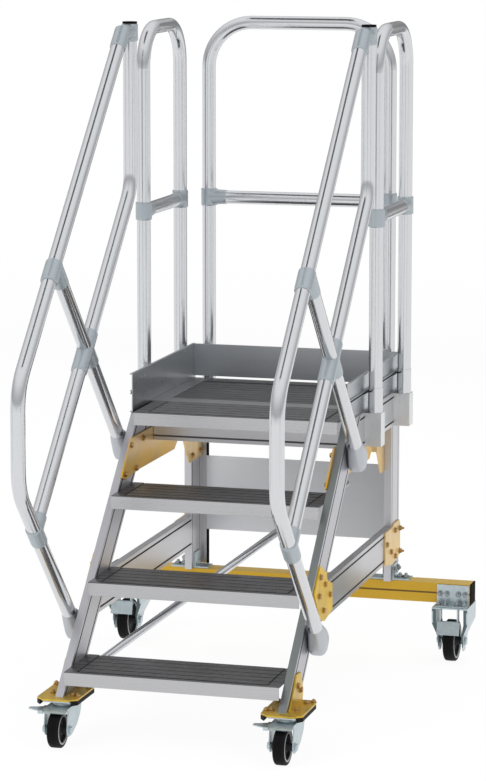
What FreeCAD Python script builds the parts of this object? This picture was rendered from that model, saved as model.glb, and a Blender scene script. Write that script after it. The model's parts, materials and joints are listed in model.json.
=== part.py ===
import FreeCAD, Part
import math
import os
import Sketcher
from FreeCAD import Placement, Rotation, Vector

# Mobile platform stair: three treads and a platform between two sloping stringers,
# handrails and guard hoops, two swivel casters in front, two fixed casters on a traverse.
#
# Stair coordinates: X across (0 in the middle), Y = 0 at the nose of the first tread
# and growing towards the platform, Z = 0 on the ground. Every sub-part is moved by
# first_nose_y at the end, so that the finished stair stands on its origin.
# Along the pitch the stair has its own pair of directions: t climbs the nose line,
# n points down and back, square to it. Both are 0 at the nose of the first tread.

DIMENSIONS = {
    # pitch and main heights
    "riser": 203, "run": 208, "tread_count": 3, "first_nose_y": -560,
    "deck_top": 812, "frame_rear": 1300,
    # treads and planks
    "half_width": 300, "tread_depth": 209, "nose_height": 38, "skin": 3,
    "rib_height": 2, "rib_width": 9, "rib_pitch": 11.5, "rib_first": 20, "ribs_in_band": 3,
    "band_pitch": 38, "rib_lead": 10,
    "tread_end_strip": 32, "plank_end_strip": 38,
    "floor_band": 62, "floor_rim": 54, "floor_rear": 1282, "floor_half": 315.5,
    "floor_plate": 8, "floor_side": 48,
    # extruded frame profile
    "profile": 22, "profile_depth": 100, "wall": 2.5, "groove": 5, "groove_depth": 2, "groove_inset": 11,
    "stringer_front": 41, "stringer_bottom": 135, "frame_top": 802,
    "lower_rail_bottom": 299, "post_front": 1200, "post_bottom": 232,
    "beam_half": 294.5, "front_beam_y": 800,
    # toe boards
    "toe_inner": 316, "toe_sheet": 3, "toe_lip": 9, "toe_bottom": 803, "toe_height": 112,
    "toe_front": 670, "toe_rear": 1283, "toe_rear_gap": 6, "toe_mid_low": 855, "toe_mid_high": 863,
    # sheet brackets
    "gusset": 5, "outer_plate": 5, "post_flange": 18, "foot_angle_height": 48, "foot_angle_out": 46,
    "foot_angle_in": 40, "foot_angle_inset": 4,
    # traverse
    "traverse_half": 560, "traverse_size": 60, "traverse_y": 1221, "traverse_wall": 3,
    "end_cap": 4, "rail_plug": 6,
    # panel and upright strips
    "panel_half": 281, "panel_bottom": 340, "panel_top": 569, "strip_inner": 282,
    "strip_edge": 8, "strip": 4,
    # foot plates and front casters
    "foot_inner": 255, "foot_outer": 371, "foot_front": -40, "foot_rear": 145,
    "foot_chamfer": 22, "foot_plate": 5, "foot_pad": 12, "foot_pad_inner": 14,
    "caster_x": 314, "caster_shift": 4, "swivel_y": 15, "front_axle_y": -27, "front_wheel": 100,
    "front_tyre_width": 33, "front_plate_width": 76, "front_plate_depth": 105,
    "caster_plate": 4, "fork_half": 34, "fork_sheet": 3, "fork_top": 111,
    "race_radius": 28, "race_height": 7, "race_gap": 0.3, "axle": 10, "axle_head": 7, "hub_half": 29,
    "running_fit": 0.05, "tyre_wall": 9, "rim_wall": 5, "web_half": 5,
    "pedal_pin": 5, "pedal_pin_offset": 41, "pedal_pin_z": 103,
    "pedal_front": -57, "pedal_rear": -8, "pedal_reach": 79, "pedal_sheet": 3,
    # rear casters
    "rear_x": 509, "rear_axle_y": 1213, "rear_wheel": 125, "rear_tyre_width": 34,
    "rear_axle": 12, "housing_top": 168, "housing_sheet": 4, "housing_half": 54,
    "housing_tip_half": 38.5, "housing_front": 1172, "housing_rear": 1297,
    "bracket_half": 48.5, "bracket_front": 1178, "bracket_sheet": 4, "bracket_drop": 3,
    "brake_pin": 8, "brake_y": 1170, "brake_z": 122, "lug_inner": 24,
    # tubes
    "tube": 40, "tube_wall": 2, "rail_x": 350, "hoop_x": 347.5, "rail_front": -208,
    "rail_low_bend": 130, "rail_high_bend": 140,
    "handrail_n": -719, "kneerail_n": -350, "return_t": 220, "strut_t": 830,
    "rail_end_y": 693, "post_y": 765, "post_top": 1908, "knee_bend": 100,
    "fitting": 46, "fit_gap": 0.3, "tee_above": 12, "tee_below": 56, "tee_side": 48,
    "cross_up": 56, "cross_down": 84, "cross_above": 12, "cross_below": 66,
    "saddle_up": 14, "saddle_down": 56, "saddle_branch": 72,
    "hoop_front": 882, "hoop_back": 1247, "hoop_top": 1888, "hoop_bend": 115,
    "rear_hoop_y": 1325.5, "rear_hoop_half": 280, "rear_hoop_bend": 135,
    "mid_rail": 1361, "mid_sleeve": 53, "mid_neck": 58, "clamp_bottom": 703,
    "clamp_top": 800, "clamp": 48, "sleeve_top": 872, "sleeve": 43,
    "socket_end": 45, "socket_depth": 50, "brace_tube": 22, "brace_n": 188, "brace_t": 461,
    "brace_climb": 1.1, "brace_tab": 5, "brace_tab_width": 22, "brace_tab_length": 66,
    "brace_tab_end": 5, "brace_inset": 5, "brace_spacer": 9,
    "bolt_flats": 13, "bolt_head": 7, "housing_bolt_inset": 16,
}

doc = FreeCAD.newDocument("platform_stair")
sheet = doc.addObject("Spreadsheet::Sheet", "Dims")
for row, (name, size) in enumerate(DIMENSIONS.items(), start=1):
    sheet.set("A%d" % row, name)
    sheet.set("B%d" % row, str(size))
    sheet.setAlias("B%d" % row, name)
doc.recompute()

# Directions along and square to the pitch, as expressions on the sheet.
SLOPE_RUN = "(Dims.run / Dims.riser)"
SLOPE_LENGTH = "(sqrt(Dims.run ^ 2 + Dims.riser ^ 2) / Dims.riser)"


def size(name):
    """The number that a cell of the sheet holds."""
    return float(sheet.get(name))


def on_slope(n, z):
    """Y of the point at height z on the line that runs n behind the nose line."""
    return "(%s) * %s + (%s - Dims.riser) * %s" % (n, SLOPE_LENGTH, z, SLOPE_RUN)


def pitch_point(t, n):
    """(Y, Z) of the point t along and n behind the nose line."""
    length = math.hypot(size("run"), size("riser"))
    along = Vector(0, size("run") / length, size("riser") / length)
    behind = Vector(0, along.z, -along.y)
    point = along * t + behind * n
    return point.y, point.z + size("riser")


# ---------------------------------------------------------------- basic shapes

def body_sketch(label, role, loops):
    """A body with one sketch of closed polygons whose corners are bound to the sheet."""
    body = doc.addObject("PartDesign::Body", label)
    sketch = body.newObject("Sketcher::SketchObject", label + "_outline")
    plane = [f for f in body.Origin.OriginFeatures if f.Role == role][0]
    sketch.AttachmentSupport = [(plane, "")]
    sketch.MapMode = "FlatFace"
    first_line = 0
    first_constraint = 0
    for loop in loops:
        count = len(loop)
        angles = [2 * math.pi * corner / count for corner in range(count)]
        start = [Vector(100 * math.cos(a), 100 * math.sin(a), 0) for a in angles]
        lines = [Part.LineSegment(start[i], start[(i + 1) % count]) for i in range(count)]
        sketch.addGeometry(lines, False)
        rules = []
        for i in range(count):
            line = first_line + i
            after = first_line + (i + 1) % count
            rules.append(Sketcher.Constraint("Coincident", line, 2, after, 1))
        for i in range(count):
            rules.append(Sketcher.Constraint("DistanceX", -1, 1, first_line + i, 1, start[i].x))
            rules.append(Sketcher.Constraint("DistanceY", -1, 1, first_line + i, 1, start[i].y))
        sketch.addConstraint(rules)
        for i, (across, up) in enumerate(loop):
            place = first_constraint + count + 2 * i
            sketch.setExpression("Constraints[%d]" % place, str(across))
            sketch.setExpression("Constraints[%d]" % (place + 1), str(up))
        first_line += count
        first_constraint += 3 * count
    return body, sketch


def prism(label, loops, x_from, x_to):
    """Outlines in (Y, Z) padded along X between two places."""
    body, sketch = body_sketch(label, "YZ_Plane", loops)
    pad = body.newObject("PartDesign::Pad", label + "_pad")
    pad.Profile = sketch
    pad.setExpression("Length", "(%s) - (%s)" % (x_to, x_from))
    body.setExpression("Placement.Base.x", str(x_from))
    return body


def plate(label, outline, z_from, z_to):
    """An outline in (X, Y) padded upwards between two heights."""
    body, sketch = body_sketch(label, "XY_Plane", [outline])
    pad = body.newObject("PartDesign::Pad", label + "_pad")
    pad.Profile = sketch
    pad.setExpression("Length", "(%s) - (%s)" % (z_to, z_from))
    body.setExpression("Placement.Base.z", str(z_from))
    return body


def slab(label, outline, y_from, y_to):
    """An outline in (X, Z) padded along Y between two places."""
    body, sketch = body_sketch(label, "XZ_Plane", [outline])
    pad = body.newObject("PartDesign::Pad", label + "_pad")
    pad.Profile = sketch
    pad.Reversed = True
    pad.setExpression("Length", "(%s) - (%s)" % (y_to, y_from))
    body.setExpression("Placement.Base.y", str(y_from))
    return body


def block(label, x, y, z):
    """A box between (low, high) places on each axis."""
    box = doc.addObject("Part::Box", label)
    for prop, (low, high) in (("Length", x), ("Width", y), ("Height", z)):
        box.setExpression(prop, "(%s) - (%s)" % (high, low))
    for axis, (low, high) in (("x", x), ("y", y), ("z", z)):
        box.setExpression("Placement.Base." + axis, str(low))
    return box


TURNS = {"x": Rotation(Vector(0, 1, 0), 90), "y": Rotation(Vector(1, 0, 0), -90), "z": Rotation()}


def round_bar(label, axis, radius, centre, low, high):
    """A cylinder along an axis, through a centre in the other two, between two places."""
    bar = doc.addObject("Part::Cylinder", label)
    bar.Placement = Placement(Vector(), TURNS[axis])
    bar.setExpression("Radius", str(radius))
    bar.setExpression("Height", "(%s) - (%s)" % (high, low))
    places = dict(zip([a for a in "xyz" if a != axis], centre))
    places[axis] = low
    for name, place in places.items():
        bar.setExpression("Placement.Base." + name, str(place))
    return bar


def cut(label, base, tools):
    """The base with every tool taken away."""
    result = doc.addObject("Part::Cut", label)
    result.Base = base
    result.Tool = tools[0] if len(tools) == 1 else group(label + "_tools", tools)
    return result


def fused(label, pieces):
    """One solid made of several that touch."""
    result = doc.addObject("Part::MultiFuse", label)
    result.Shapes = pieces
    result.Refine = True
    return result


def group(label, pieces):
    """Separate solids that share one name."""
    result = doc.addObject("Part::Compound", label)
    result.Links = pieces
    return result


def mirrored(label, source):
    """The same piece on the left."""
    result = doc.addObject("Part::Mirroring", label)
    result.Source = source
    result.Base = Vector(0, 0, 0)
    result.Normal = Vector(1, 0, 0)
    return result


def both_sides(label, pieces):
    """Pieces of the right-hand side together with their mirror images."""
    right = pieces[0] if len(pieces) == 1 else group(label + "_right_side", pieces)
    return group(label, [right, mirrored(label + "_left_side", right)])


def shaped(label, shape):
    """A sub-part whose form no primitive or body feature gives."""
    feature = doc.addObject("Part::Feature", label)
    feature.Shape = shape
    return feature


sub_parts = []


def sub_part(obj, label):
    """Name a finished sub-part and set it in the frame of the whole stair."""
    obj.Label = label
    obj.setExpression("Placement.Base.y", "Dims.first_nose_y")
    sub_parts.append(obj)


def side_pair(name, right):
    """A right-hand piece and its mirror image, as two sub-parts."""
    left = mirrored(name + "_left", right)
    sub_part(left, name + "_left")
    holder = group(name + "_right_part", [right])
    sub_part(holder, name + "_right")


# ---------------------------------------------------------------- tubes

def tube_route(points, bends):
    """A wire through the points, with a tangent arc of the given radius at each corner."""
    edges = []
    start = points[0]
    for corner, after, radius in zip(points[1:-1], points[2:], bends):
        back = (start - corner).normalize()
        on = (after - corner).normalize()
        half_angle = back.getAngle(on) / 2
        setback = radius / math.tan(half_angle)
        bisector = (back + on).normalize()
        centre = corner + bisector * (radius / math.sin(half_angle))
        first = corner + back * setback
        last = corner + on * setback
        edges.append(Part.LineSegment(start, first).toShape())
        edges.append(Part.Arc(first, centre - bisector * radius, last).toShape())
        start = last
    edges.append(Part.LineSegment(start, points[-1]).toShape())
    return Part.Wire(edges)


def swept(route, radius):
    """A round bar along a route."""
    first = route.Edges[0]
    start = first.valueAt(first.FirstParameter)
    ring = Part.Wire(Part.Circle(start, first.tangentAt(first.FirstParameter), radius).toShape())
    return route.makePipeShell([ring], True, False)


def pipe(points, bends=()):
    """A round tube of the rail size through (X, Y, Z) points."""
    route = tube_route([Vector(*point) for point in points], bends)
    radius = size("tube") / 2
    return swept(route, radius).cut(swept(route, radius - size("tube_wall")))


def collar(start, end, radius, bore):
    """A straight ring, or a plain bar when the bore is 0."""
    first = Vector(*start)
    along = Vector(*end) - first
    ring = Part.makeCylinder(radius, along.Length, first, along)
    if bore == 0:
        return ring
    return ring.cut(Part.makeCylinder(bore, along.Length, first, along))


def rail_point(t, n):
    """A point in the plane of the right-hand handrail."""
    y, z = pitch_point(t, n)
    return size("rail_x"), y, z


# ---------------------------------------------------------------- frame profile

def profile_bar(label, corner, low, high, x_low="Dims.half_width"):
    """A hollow upright profile whose two side faces carry a groove near each edge.

    corner(end, across) gives (Y, Z); low and high are the places of its two narrow faces.
    """
    x_high = "%s + Dims.profile" % x_low

    def strip(name, across_low, across_high, x_from, x_to):
        loop = [corner(0, across_low), corner(0, across_high)]
        loop += [corner(1, across_high), corner(1, across_low)]
        return prism(label + name, [loop], x_from, x_to)

    outer = strip("_outer", low, high, x_low, x_high)
    tools = [strip("_hollow", "%s + Dims.wall" % low, "%s - Dims.wall" % high,
                   "%s + Dims.wall + Dims.groove_depth" % x_low,
                   "%s - Dims.wall - Dims.groove_depth" % x_high)]
    places = {"_low": "%s + Dims.groove_inset" % low,
              "_high": "%s - Dims.groove_inset - Dims.groove" % high}
    for name, place in places.items():
        end = "%s + Dims.groove" % place
        tools.append(strip(name + "_in", place, end, x_low, "%s + Dims.groove_depth" % x_low))
        tools.append(strip(name + "_out", place, end, "%s - Dims.groove_depth" % x_high, x_high))
    return cut(label, outer, tools)


def stringer_corner(end, n):
    z = ("Dims.stringer_bottom", "Dims.frame_top")[end]
    return on_slope(n, z), z


STRINGER_REAR = "Dims.stringer_front + Dims.profile_depth"


def side_rail_corner(end, z):
    return (on_slope(STRINGER_REAR, z), "Dims.frame_rear")[end], z


def lower_rail_corner(end, z):
    return (on_slope(STRINGER_REAR, z), "Dims.post_front")[end], z


def post_corner(end, y):
    return y, ("Dims.post_bottom", "Dims.frame_top - Dims.profile_depth")[end]


def cross_beam(label, y_front, faces):
    """A beam of the frame profile on edge, across the stair under the platform."""
    x = ("-Dims.beam_half", "Dims.beam_half")
    y = (y_front, "%s + Dims.profile" % y_front)
    z = ("Dims.frame_top - Dims.profile_depth", "Dims.frame_top")
    deep = "Dims.wall + Dims.groove_depth"
    tools = [block(label + "_hollow", x, ("%s + %s" % (y[0], deep), "%s - (%s)" % (y[1], deep)),
                   ("%s + Dims.wall" % z[0], "%s - Dims.wall" % z[1]))]
    for face in faces:
        for name, place in (("_low", "%s + Dims.groove_inset" % z[0]),
                            ("_high", "%s - Dims.groove_inset - Dims.groove" % z[1])):
            front = {"front": (y[0], "%s + Dims.groove_depth" % y[0]),
                     "rear": ("%s - Dims.groove_depth" % y[1], y[1])}[face]
            tools.append(block(label + name + face, x, front, (place, "%s + Dims.groove" % place)))
    return cut(label, block(label + "_outer", x, y, z), tools)


def build_frame():
    side_pair("stringer", profile_bar("stringer", stringer_corner, "Dims.stringer_front",
                                      STRINGER_REAR))
    side_pair("side_rail", profile_bar("side_rail", side_rail_corner,
                                       "Dims.frame_top - Dims.profile_depth", "Dims.frame_top"))
    side_pair("lower_rail", profile_bar("lower_rail", lower_rail_corner, "Dims.lower_rail_bottom",
                                        "Dims.lower_rail_bottom + Dims.profile_depth"))
    side_pair("rear_post", profile_bar("rear_post", post_corner, "Dims.post_front",
                                       "Dims.frame_rear"))
    sub_part(cross_beam("front_beam_bar", "Dims.front_beam_y", ["front", "rear"]), "front_beam")
    sub_part(cross_beam("rear_beam_bar", "Dims.frame_rear - Dims.profile", ["front", "rear"]),
             "rear_beam")


# ---------------------------------------------------------------- treads and platform

def ribbed_step(label, nose_y, top, end_strip):
    """A folded tread: channel section, smooth strips at the ends and ribs along the step."""
    rear = "%s + Dims.tread_depth" % nose_y
    plate_top = "%s - Dims.rib_height" % top
    plate_under = "%s - Dims.skin" % plate_top
    lip = "%s - Dims.nose_height" % top
    inner_front = "%s + Dims.skin" % nose_y
    inner_rear = "%s - Dims.skin" % rear
    section = [(nose_y, lip), (nose_y, plate_top), (rear, plate_top), (rear, lip),
               (inner_rear, lip), (inner_rear, plate_under), (inner_front, plate_under),
               (inner_front, lip)]
    pieces = [prism(label + "_channel", [section], "-Dims.half_width", "Dims.half_width")]
    height = (plate_top, top)
    inner = "Dims.half_width - (%s)" % end_strip
    nose_strip = (nose_y, "%s + Dims.rib_first - Dims.rib_lead" % nose_y)
    pieces.append(block(label + "_nose_strip", ("-Dims.half_width", "Dims.half_width"),
                        nose_strip, height))
    pieces.append(block(label + "_left_strip", ("-Dims.half_width", "-(%s)" % inner),
                        (nose_strip[1], rear), height))
    pieces.append(block(label + "_right_strip", (inner, "Dims.half_width"),
                        (nose_strip[1], rear), height))
    room = size("tread_depth") - size("rib_first")
    pieces += ribs(label, "%s + Dims.rib_first" % nose_y, room, inner, height)
    return fused(label, pieces)


def ribs(label, front, room, inner, height):
    """Bands of narrow ribs across the stair, as many as the room behind the front takes."""
    wide = ("-(%s) + Dims.groove" % inner, "%s - Dims.groove" % inner)
    pieces = []
    for band in range(int((room + size("rib_pitch") / 2) // size("band_pitch"))):
        for rib in range(int(size("ribs_in_band"))):
            start = "%s + %d * Dims.band_pitch + %d * Dims.rib_pitch" % (front, band, rib)
            pieces.append(block("%s_rib_%d_%d" % (label, band, rib), wide,
                                (start, "%s + Dims.rib_width" % start), height))
    return pieces


def platform_floor(label):
    """The floor behind the front plank: a plate with a band, a rim and ribs between them."""
    front = "Dims.tread_count * Dims.run + Dims.tread_depth"
    under = "Dims.frame_top"
    plate_top = "Dims.frame_top + Dims.floor_plate"
    height = (plate_top, "Dims.deck_top")
    wide = ("-Dims.floor_half", "Dims.floor_half")
    pieces = [block(label + "_plate", wide, (front, "Dims.floor_rear"), (under, plate_top))]
    ribs_front = "%s + Dims.floor_band" % front
    ribs_rear = "Dims.floor_rear - Dims.floor_rim"
    pieces.append(block(label + "_band", wide, (front, ribs_front), height))
    pieces.append(block(label + "_rim", wide, (ribs_rear, "Dims.floor_rear"), height))
    inner = "Dims.floor_half - Dims.floor_side"
    for name, side in (("_left", ("-Dims.floor_half", "-(%s)" % inner)),
                       ("_right", (inner, "Dims.floor_half"))):
        pieces.append(block(label + name, side, (ribs_front, ribs_rear), height))
    room = (size("floor_rear") - size("floor_rim") - size("floor_band")
            - size("tread_count") * size("run") - size("tread_depth"))
    pieces += ribs(label, "%s + Dims.groove" % ribs_front, room, inner, height)
    return fused(label, pieces)


def toe_board_side(label):
    """An upright sheet beside the platform, stiffened by lips on its outer face."""
    web_outer = "Dims.toe_inner + Dims.toe_sheet"
    lips = (web_outer, "Dims.toe_inner + Dims.toe_lip")
    along = ("Dims.toe_front", "Dims.frame_rear")
    top = "Dims.toe_bottom + Dims.toe_height"
    pieces = [block(label + "_web", ("Dims.toe_inner", web_outer), along, ("Dims.toe_bottom", top))]
    for name, low in toe_lips("Dims.toe_bottom", top):
        pieces.append(block(label + name, lips, along, (low, "%s + Dims.toe_sheet" % low)))
    return fused(label, pieces)


def toe_lips(bottom, top):
    return (("_bottom", bottom), ("_mid_low", "Dims.toe_mid_low"),
            ("_mid_high", "Dims.toe_mid_high"), ("_top", "%s - Dims.toe_sheet" % top))


def toe_board_rear(label):
    wide = ("-Dims.toe_inner + Dims.fit_gap", "Dims.toe_inner - Dims.fit_gap")
    web_rear = "Dims.toe_rear + Dims.toe_sheet"
    lips = (web_rear, "Dims.toe_rear + Dims.toe_lip")
    top = "Dims.toe_bottom + Dims.toe_height"
    low_edge = "Dims.deck_top + Dims.toe_rear_gap"
    pieces = [block(label + "_web", wide, ("Dims.toe_rear", web_rear), (low_edge, top))]
    for name, low in toe_lips(low_edge, top):
        pieces.append(block(label + name, wide, lips, (low, "%s + Dims.toe_sheet" % low)))
    return fused(label, pieces)


def build_platform():
    for number in range(1, int(size("tread_count")) + 1):
        nose = "%d * Dims.run" % (number - 1)
        top = "%d * Dims.riser" % number
        step = ribbed_step("step_%d" % number, nose, top, "Dims.tread_end_strip")
        sub_part(step, "tread_%d" % number)
    plank = ribbed_step("plank", "Dims.tread_count * Dims.run", "Dims.deck_top",
                        "Dims.plank_end_strip")
    sub_part(plank, "deck_front_plank")
    sub_part(platform_floor("floor"), "deck_floor")
    side_pair("toe_board", toe_board_side("toe_side"))
    sub_part(toe_board_rear("toe_rear_board"), "toe_board_rear")


# ---------------------------------------------------------------- panel and upright strips

def build_rear_closure():
    panel = block("panel", ("-Dims.panel_half", "Dims.panel_half"),
                  ("Dims.frame_rear - Dims.strip", "Dims.frame_rear"),
                  ("Dims.panel_bottom", "Dims.panel_top"))
    sub_part(group("panel_sheet", [panel]), "rear_panel")
    strip = block("strip", ("Dims.strip_inner", "Dims.half_width + Dims.profile"),
                  ("Dims.frame_rear", "Dims.frame_rear + Dims.strip"),
                  ("Dims.post_bottom", "Dims.frame_top - Dims.profile_depth"))
    sub_part(both_sides("strips", [strip]), "rear_upright_strips")


# ---------------------------------------------------------------- brackets, bolts, traverse

# Outlines of the folded brackets in (Y, Z).
STAIR_GUSSET = ((500, 643), (590, 743), (1030, 743), (1040, 658), (1010, 638), (640, 640),
                (540, 631))
POST_GUSSET = ((1112, 763), (1300, 763), (1300, 640), (1290, 568), (1164, 568), (1112, 640))
CORNER_BRACKET = ((1110, 299), (1205, 283), (1302, 297), (1302, 393), (1290, 405), (1225, 405),
                  (1200, 398), (1110, 398))
STRINGER_BRACKET = ((336, 461), (403, 430), (414, 405), (471, 385), (472, 310), (382, 297),
                    (332, 314), (272, 394))
FOOT_FLANGE = ((15, 135), (88, 217), (130, 215), (155, 163), (148, 135))

# Bolts as (Y, Z) on the inner gussets, then on the outer brackets.
GUSSET_BOLTS = ((531, 649), (588, 723), (634, 648), (702, 724), (834, 716), (1196, 587), (1278, 589),
                (1150, 724), (1270, 724))
OUTER_BOLTS = ((1233, 383), (1129, 359), (1182, 327), (1235, 304), (336, 430), (385, 400),
               (320, 380), (368, 330), (440, 360), (95, 185), (122, 168), (1268, 262), (1228, 262),
               (1294, 378), (1294, 308))
PLATE_NUTS = ((263, 7), (278, 11), (342, 29), (349, 106), (364, 122), (268, 110))
TRAVERSE_BOLTS = (-38, -17.5, 17.5, 38)


def hex_head(label, centre, axis):
    """A hexagon head seated on a face, pointing away from it along the signed axis."""
    turns = {"+x": Rotation(Vector(0, 1, 0), 90), "-x": Rotation(Vector(0, 1, 0), -90),
             "+y": Rotation(Vector(1, 0, 0), -90), "-y": Rotation(Vector(1, 0, 0), 90),
             "+z": Rotation(), "-z": Rotation(Vector(1, 0, 0), 180)}
    head = doc.addObject("Part::Prism", label)
    head.Polygon = 6
    head.setExpression("Circumradius", "Dims.bolt_flats / sqrt(3)")
    head.setExpression("Height", "Dims.bolt_head")
    head.Placement = Placement(Vector(), turns[axis])
    for name, place in zip("xyz", centre):
        head.setExpression("Placement.Base." + name, str(place))
    return head


def build_bolts():
    bolts = []
    outer_face = "Dims.half_width + Dims.profile + Dims.outer_plate"
    inner_face = "Dims.half_width - Dims.gusset"
    for number, (y, z) in enumerate(GUSSET_BOLTS):
        bolts.append(hex_head("gusset_bolt_%d" % number, (inner_face, y, z), "-x"))
    for number, (y, z) in enumerate(OUTER_BOLTS):
        bolts.append(hex_head("outer_bolt_%d" % number, (outer_face, y, z), "+x"))
    for number, (x, y) in enumerate(PLATE_NUTS):
        bolts.append(hex_head("plate_nut_%d" % number, (x, y, "Dims.stringer_bottom"), "+z"))
    for number, offset in enumerate(TRAVERSE_BOLTS):
        x = "Dims.rear_x + %s" % offset
        bolts.append(hex_head("traverse_bolt_%d" % number,
                              (x, "Dims.traverse_y - Dims.bracket_sheet",
                               "Dims.post_bottom - Dims.traverse_size / 2"), "-y"))
        bolts.append(hex_head("housing_bolt_%d" % number,
                              (x, "Dims.bracket_front + Dims.housing_bolt_inset",
                               "Dims.housing_top + Dims.bracket_sheet"), "+z"))
    for number, x in enumerate((340, 358)):
        bolts.append(hex_head("foot_angle_bolt_%d" % number,
                              (x, "Dims.traverse_y + Dims.traverse_size / 2",
                               "Dims.post_bottom + Dims.outer_plate"), "+z"))
    sub_part(both_sides("bolts", bolts), "hex_bolts")


def build_brackets():
    inner = ("Dims.half_width - Dims.gusset", "Dims.half_width")
    outer = ("Dims.half_width + Dims.profile", "Dims.half_width + Dims.profile + Dims.outer_plate")
    sub_part(both_sides("gussets", [prism("stair_gusset", [STAIR_GUSSET], *inner)]),
             "stair_gussets")
    post_web = prism("post_gusset_web", [POST_GUSSET], *inner)
    post_flange = block("post_gusset_flange",
                        ("Dims.half_width - Dims.gusset - Dims.post_flange", inner[0]),
                        ("1112", "1112 + Dims.gusset"), ("640", "Dims.frame_top - Dims.profile_depth"))
    brackets = [fused("post_gusset", [post_web, post_flange]),
                prism("corner_bracket", [CORNER_BRACKET], *outer),
                prism("stringer_bracket", [STRINGER_BRACKET], *outer)]
    sub_part(both_sides("brackets", brackets), "frame_brackets")
    sub_part(both_sides("foot_angles", foot_angles(outer)), "post_foot_angles")


def foot_angles(outer):
    """Angles that hold the foot of a post on the traverse, outside and inside."""
    along = ("Dims.traverse_y + Dims.foot_angle_inset",
             "Dims.traverse_y + Dims.traverse_size - Dims.foot_angle_inset")
    flat = ("Dims.post_bottom", "Dims.post_bottom + Dims.outer_plate")
    upright = ("Dims.post_bottom", "Dims.post_bottom + Dims.foot_angle_height")
    outside = fused("outer_angle", [
        block("outer_angle_leg", outer, along, upright),
        block("outer_angle_foot", (outer[1], "%s + Dims.foot_angle_out" % outer[1]), along, flat)])
    inner = ("Dims.half_width - Dims.gusset", "Dims.half_width")
    inside = fused("inner_angle", [
        block("inner_angle_leg", inner, along, upright),
        block("inner_angle_foot", ("%s - Dims.foot_angle_in" % inner[0], inner[0]), along, flat)])
    return [outside, inside]


def build_traverse():
    half = ("-Dims.traverse_half", "Dims.traverse_half")
    y = ("Dims.traverse_y", "Dims.traverse_y + Dims.traverse_size")
    z = ("Dims.post_bottom - Dims.traverse_size", "Dims.post_bottom")
    middle = "Dims.post_bottom - Dims.traverse_size / 2"
    deep = "Dims.traverse_wall + Dims.groove_depth"
    groove = ("%s - Dims.groove / 2" % middle, "%s + Dims.groove / 2" % middle)
    tools = [block("traverse_hollow", half, ("%s + %s" % (y[0], deep), "%s - (%s)" % (y[1], deep)),
                   ("%s + Dims.traverse_wall" % z[0], "%s - Dims.traverse_wall" % z[1])),
             block("traverse_groove_front", half, (y[0], "%s + Dims.groove_depth" % y[0]), groove),
             block("traverse_groove_rear", half, ("%s - Dims.groove_depth" % y[1], y[1]), groove)]
    sub_part(cut("traverse_bar", block("traverse_outer", half, y, z), tools), "traverse")


def build_plastic():
    """Black plastic caps on open profile and tube ends."""
    cap = ("Dims.traverse_half", "Dims.traverse_half + Dims.end_cap")
    caps = [block("traverse_cap", cap, ("Dims.traverse_y", "Dims.traverse_y + Dims.traverse_size"),
                  ("Dims.post_bottom - Dims.traverse_size", "Dims.post_bottom"))]
    top = "Dims.frame_top"
    caps.append(prism("stringer_cap", [[
        (on_slope("Dims.stringer_front", top), top), (on_slope(STRINGER_REAR, top), top),
        (on_slope(STRINGER_REAR, top), "Dims.deck_top - Dims.end_cap"),
        (on_slope("Dims.stringer_front", top), "Dims.deck_top - Dims.end_cap")]],
        "Dims.half_width + Dims.fit_gap", "Dims.toe_inner - Dims.fit_gap"))
    caps.append(round_bar("rail_plug", "z", "Dims.tube / 2 + 1", ("Dims.rail_x", "Dims.post_y"),
                          "Dims.post_top", "Dims.post_top + Dims.rail_plug"))
    sub_part(both_sides("caps", caps), "plastic_end_caps")


# ---------------------------------------------------------------- feet

def foot_outline(inner, outer):
    """A rectangle with clipped corners, in (X, Y)."""
    clip = "Dims.foot_chamfer"
    front, rear = "Dims.foot_front", "Dims.foot_rear"
    return [("%s + %s" % (inner, clip), front), ("%s - %s" % (outer, clip), front),
            (outer, "%s + %s" % (front, clip)), (outer, "%s - %s" % (rear, clip)),
            ("%s - %s" % (outer, clip), rear), ("%s + %s" % (inner, clip), rear),
            (inner, "%s - %s" % (rear, clip)), (inner, "%s + %s" % (front, clip))]


def build_feet():
    top = "Dims.stringer_bottom"
    under = "Dims.stringer_bottom - Dims.foot_plate"
    base = plate("foot_base", foot_outline("Dims.foot_inner", "Dims.foot_outer"), under, top)
    flange = prism("foot_flange", [FOOT_FLANGE], "Dims.half_width + Dims.profile",
                   "Dims.half_width + Dims.profile + Dims.outer_plate")
    sub_part(both_sides("feet", [fused("foot", [base, flange])]), "foot_plates")

    low = "%s - Dims.foot_pad" % under
    clip = "Dims.foot_chamfer"
    pads = []
    for name, edge, side in (("inner_pad", "Dims.foot_inner", 1), ("outer_pad", "Dims.foot_outer", -1)):
        far = "%s + %d * Dims.foot_pad_inner" % (edge, side)
        outline = [(far, "Dims.foot_front + Dims.foot_pad_inner * 0.2"),
                   (edge, "Dims.foot_front + %s" % clip), (edge, "Dims.foot_rear - %s" % clip),
                   (far, "Dims.foot_rear - Dims.foot_pad_inner * 0.2")]
        pads.append(plate(name, outline, low, under))
    edge = block("strip_rubber", ("Dims.strip_inner - Dims.strip_edge", "Dims.strip_inner"),
                 ("Dims.frame_rear", "Dims.frame_rear + Dims.strip"),
                 ("Dims.post_bottom", "Dims.frame_top - Dims.profile_depth"))
    pads.append(edge)
    sub_part(both_sides("rubber", pads), "rubber_pads")


# ---------------------------------------------------------------- front casters

FORK_SIDE = ((-34, 111), (73, 111), (73, 96), (62, 74), (36, 52), (4, 38), (-14, 33),
             (-32, 33), (-43, 42), (-45, 56))
FORK_APRON = ((-34, 111), (-34, 108), (-58, 100), (-61, 103), (-40, 111))


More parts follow.
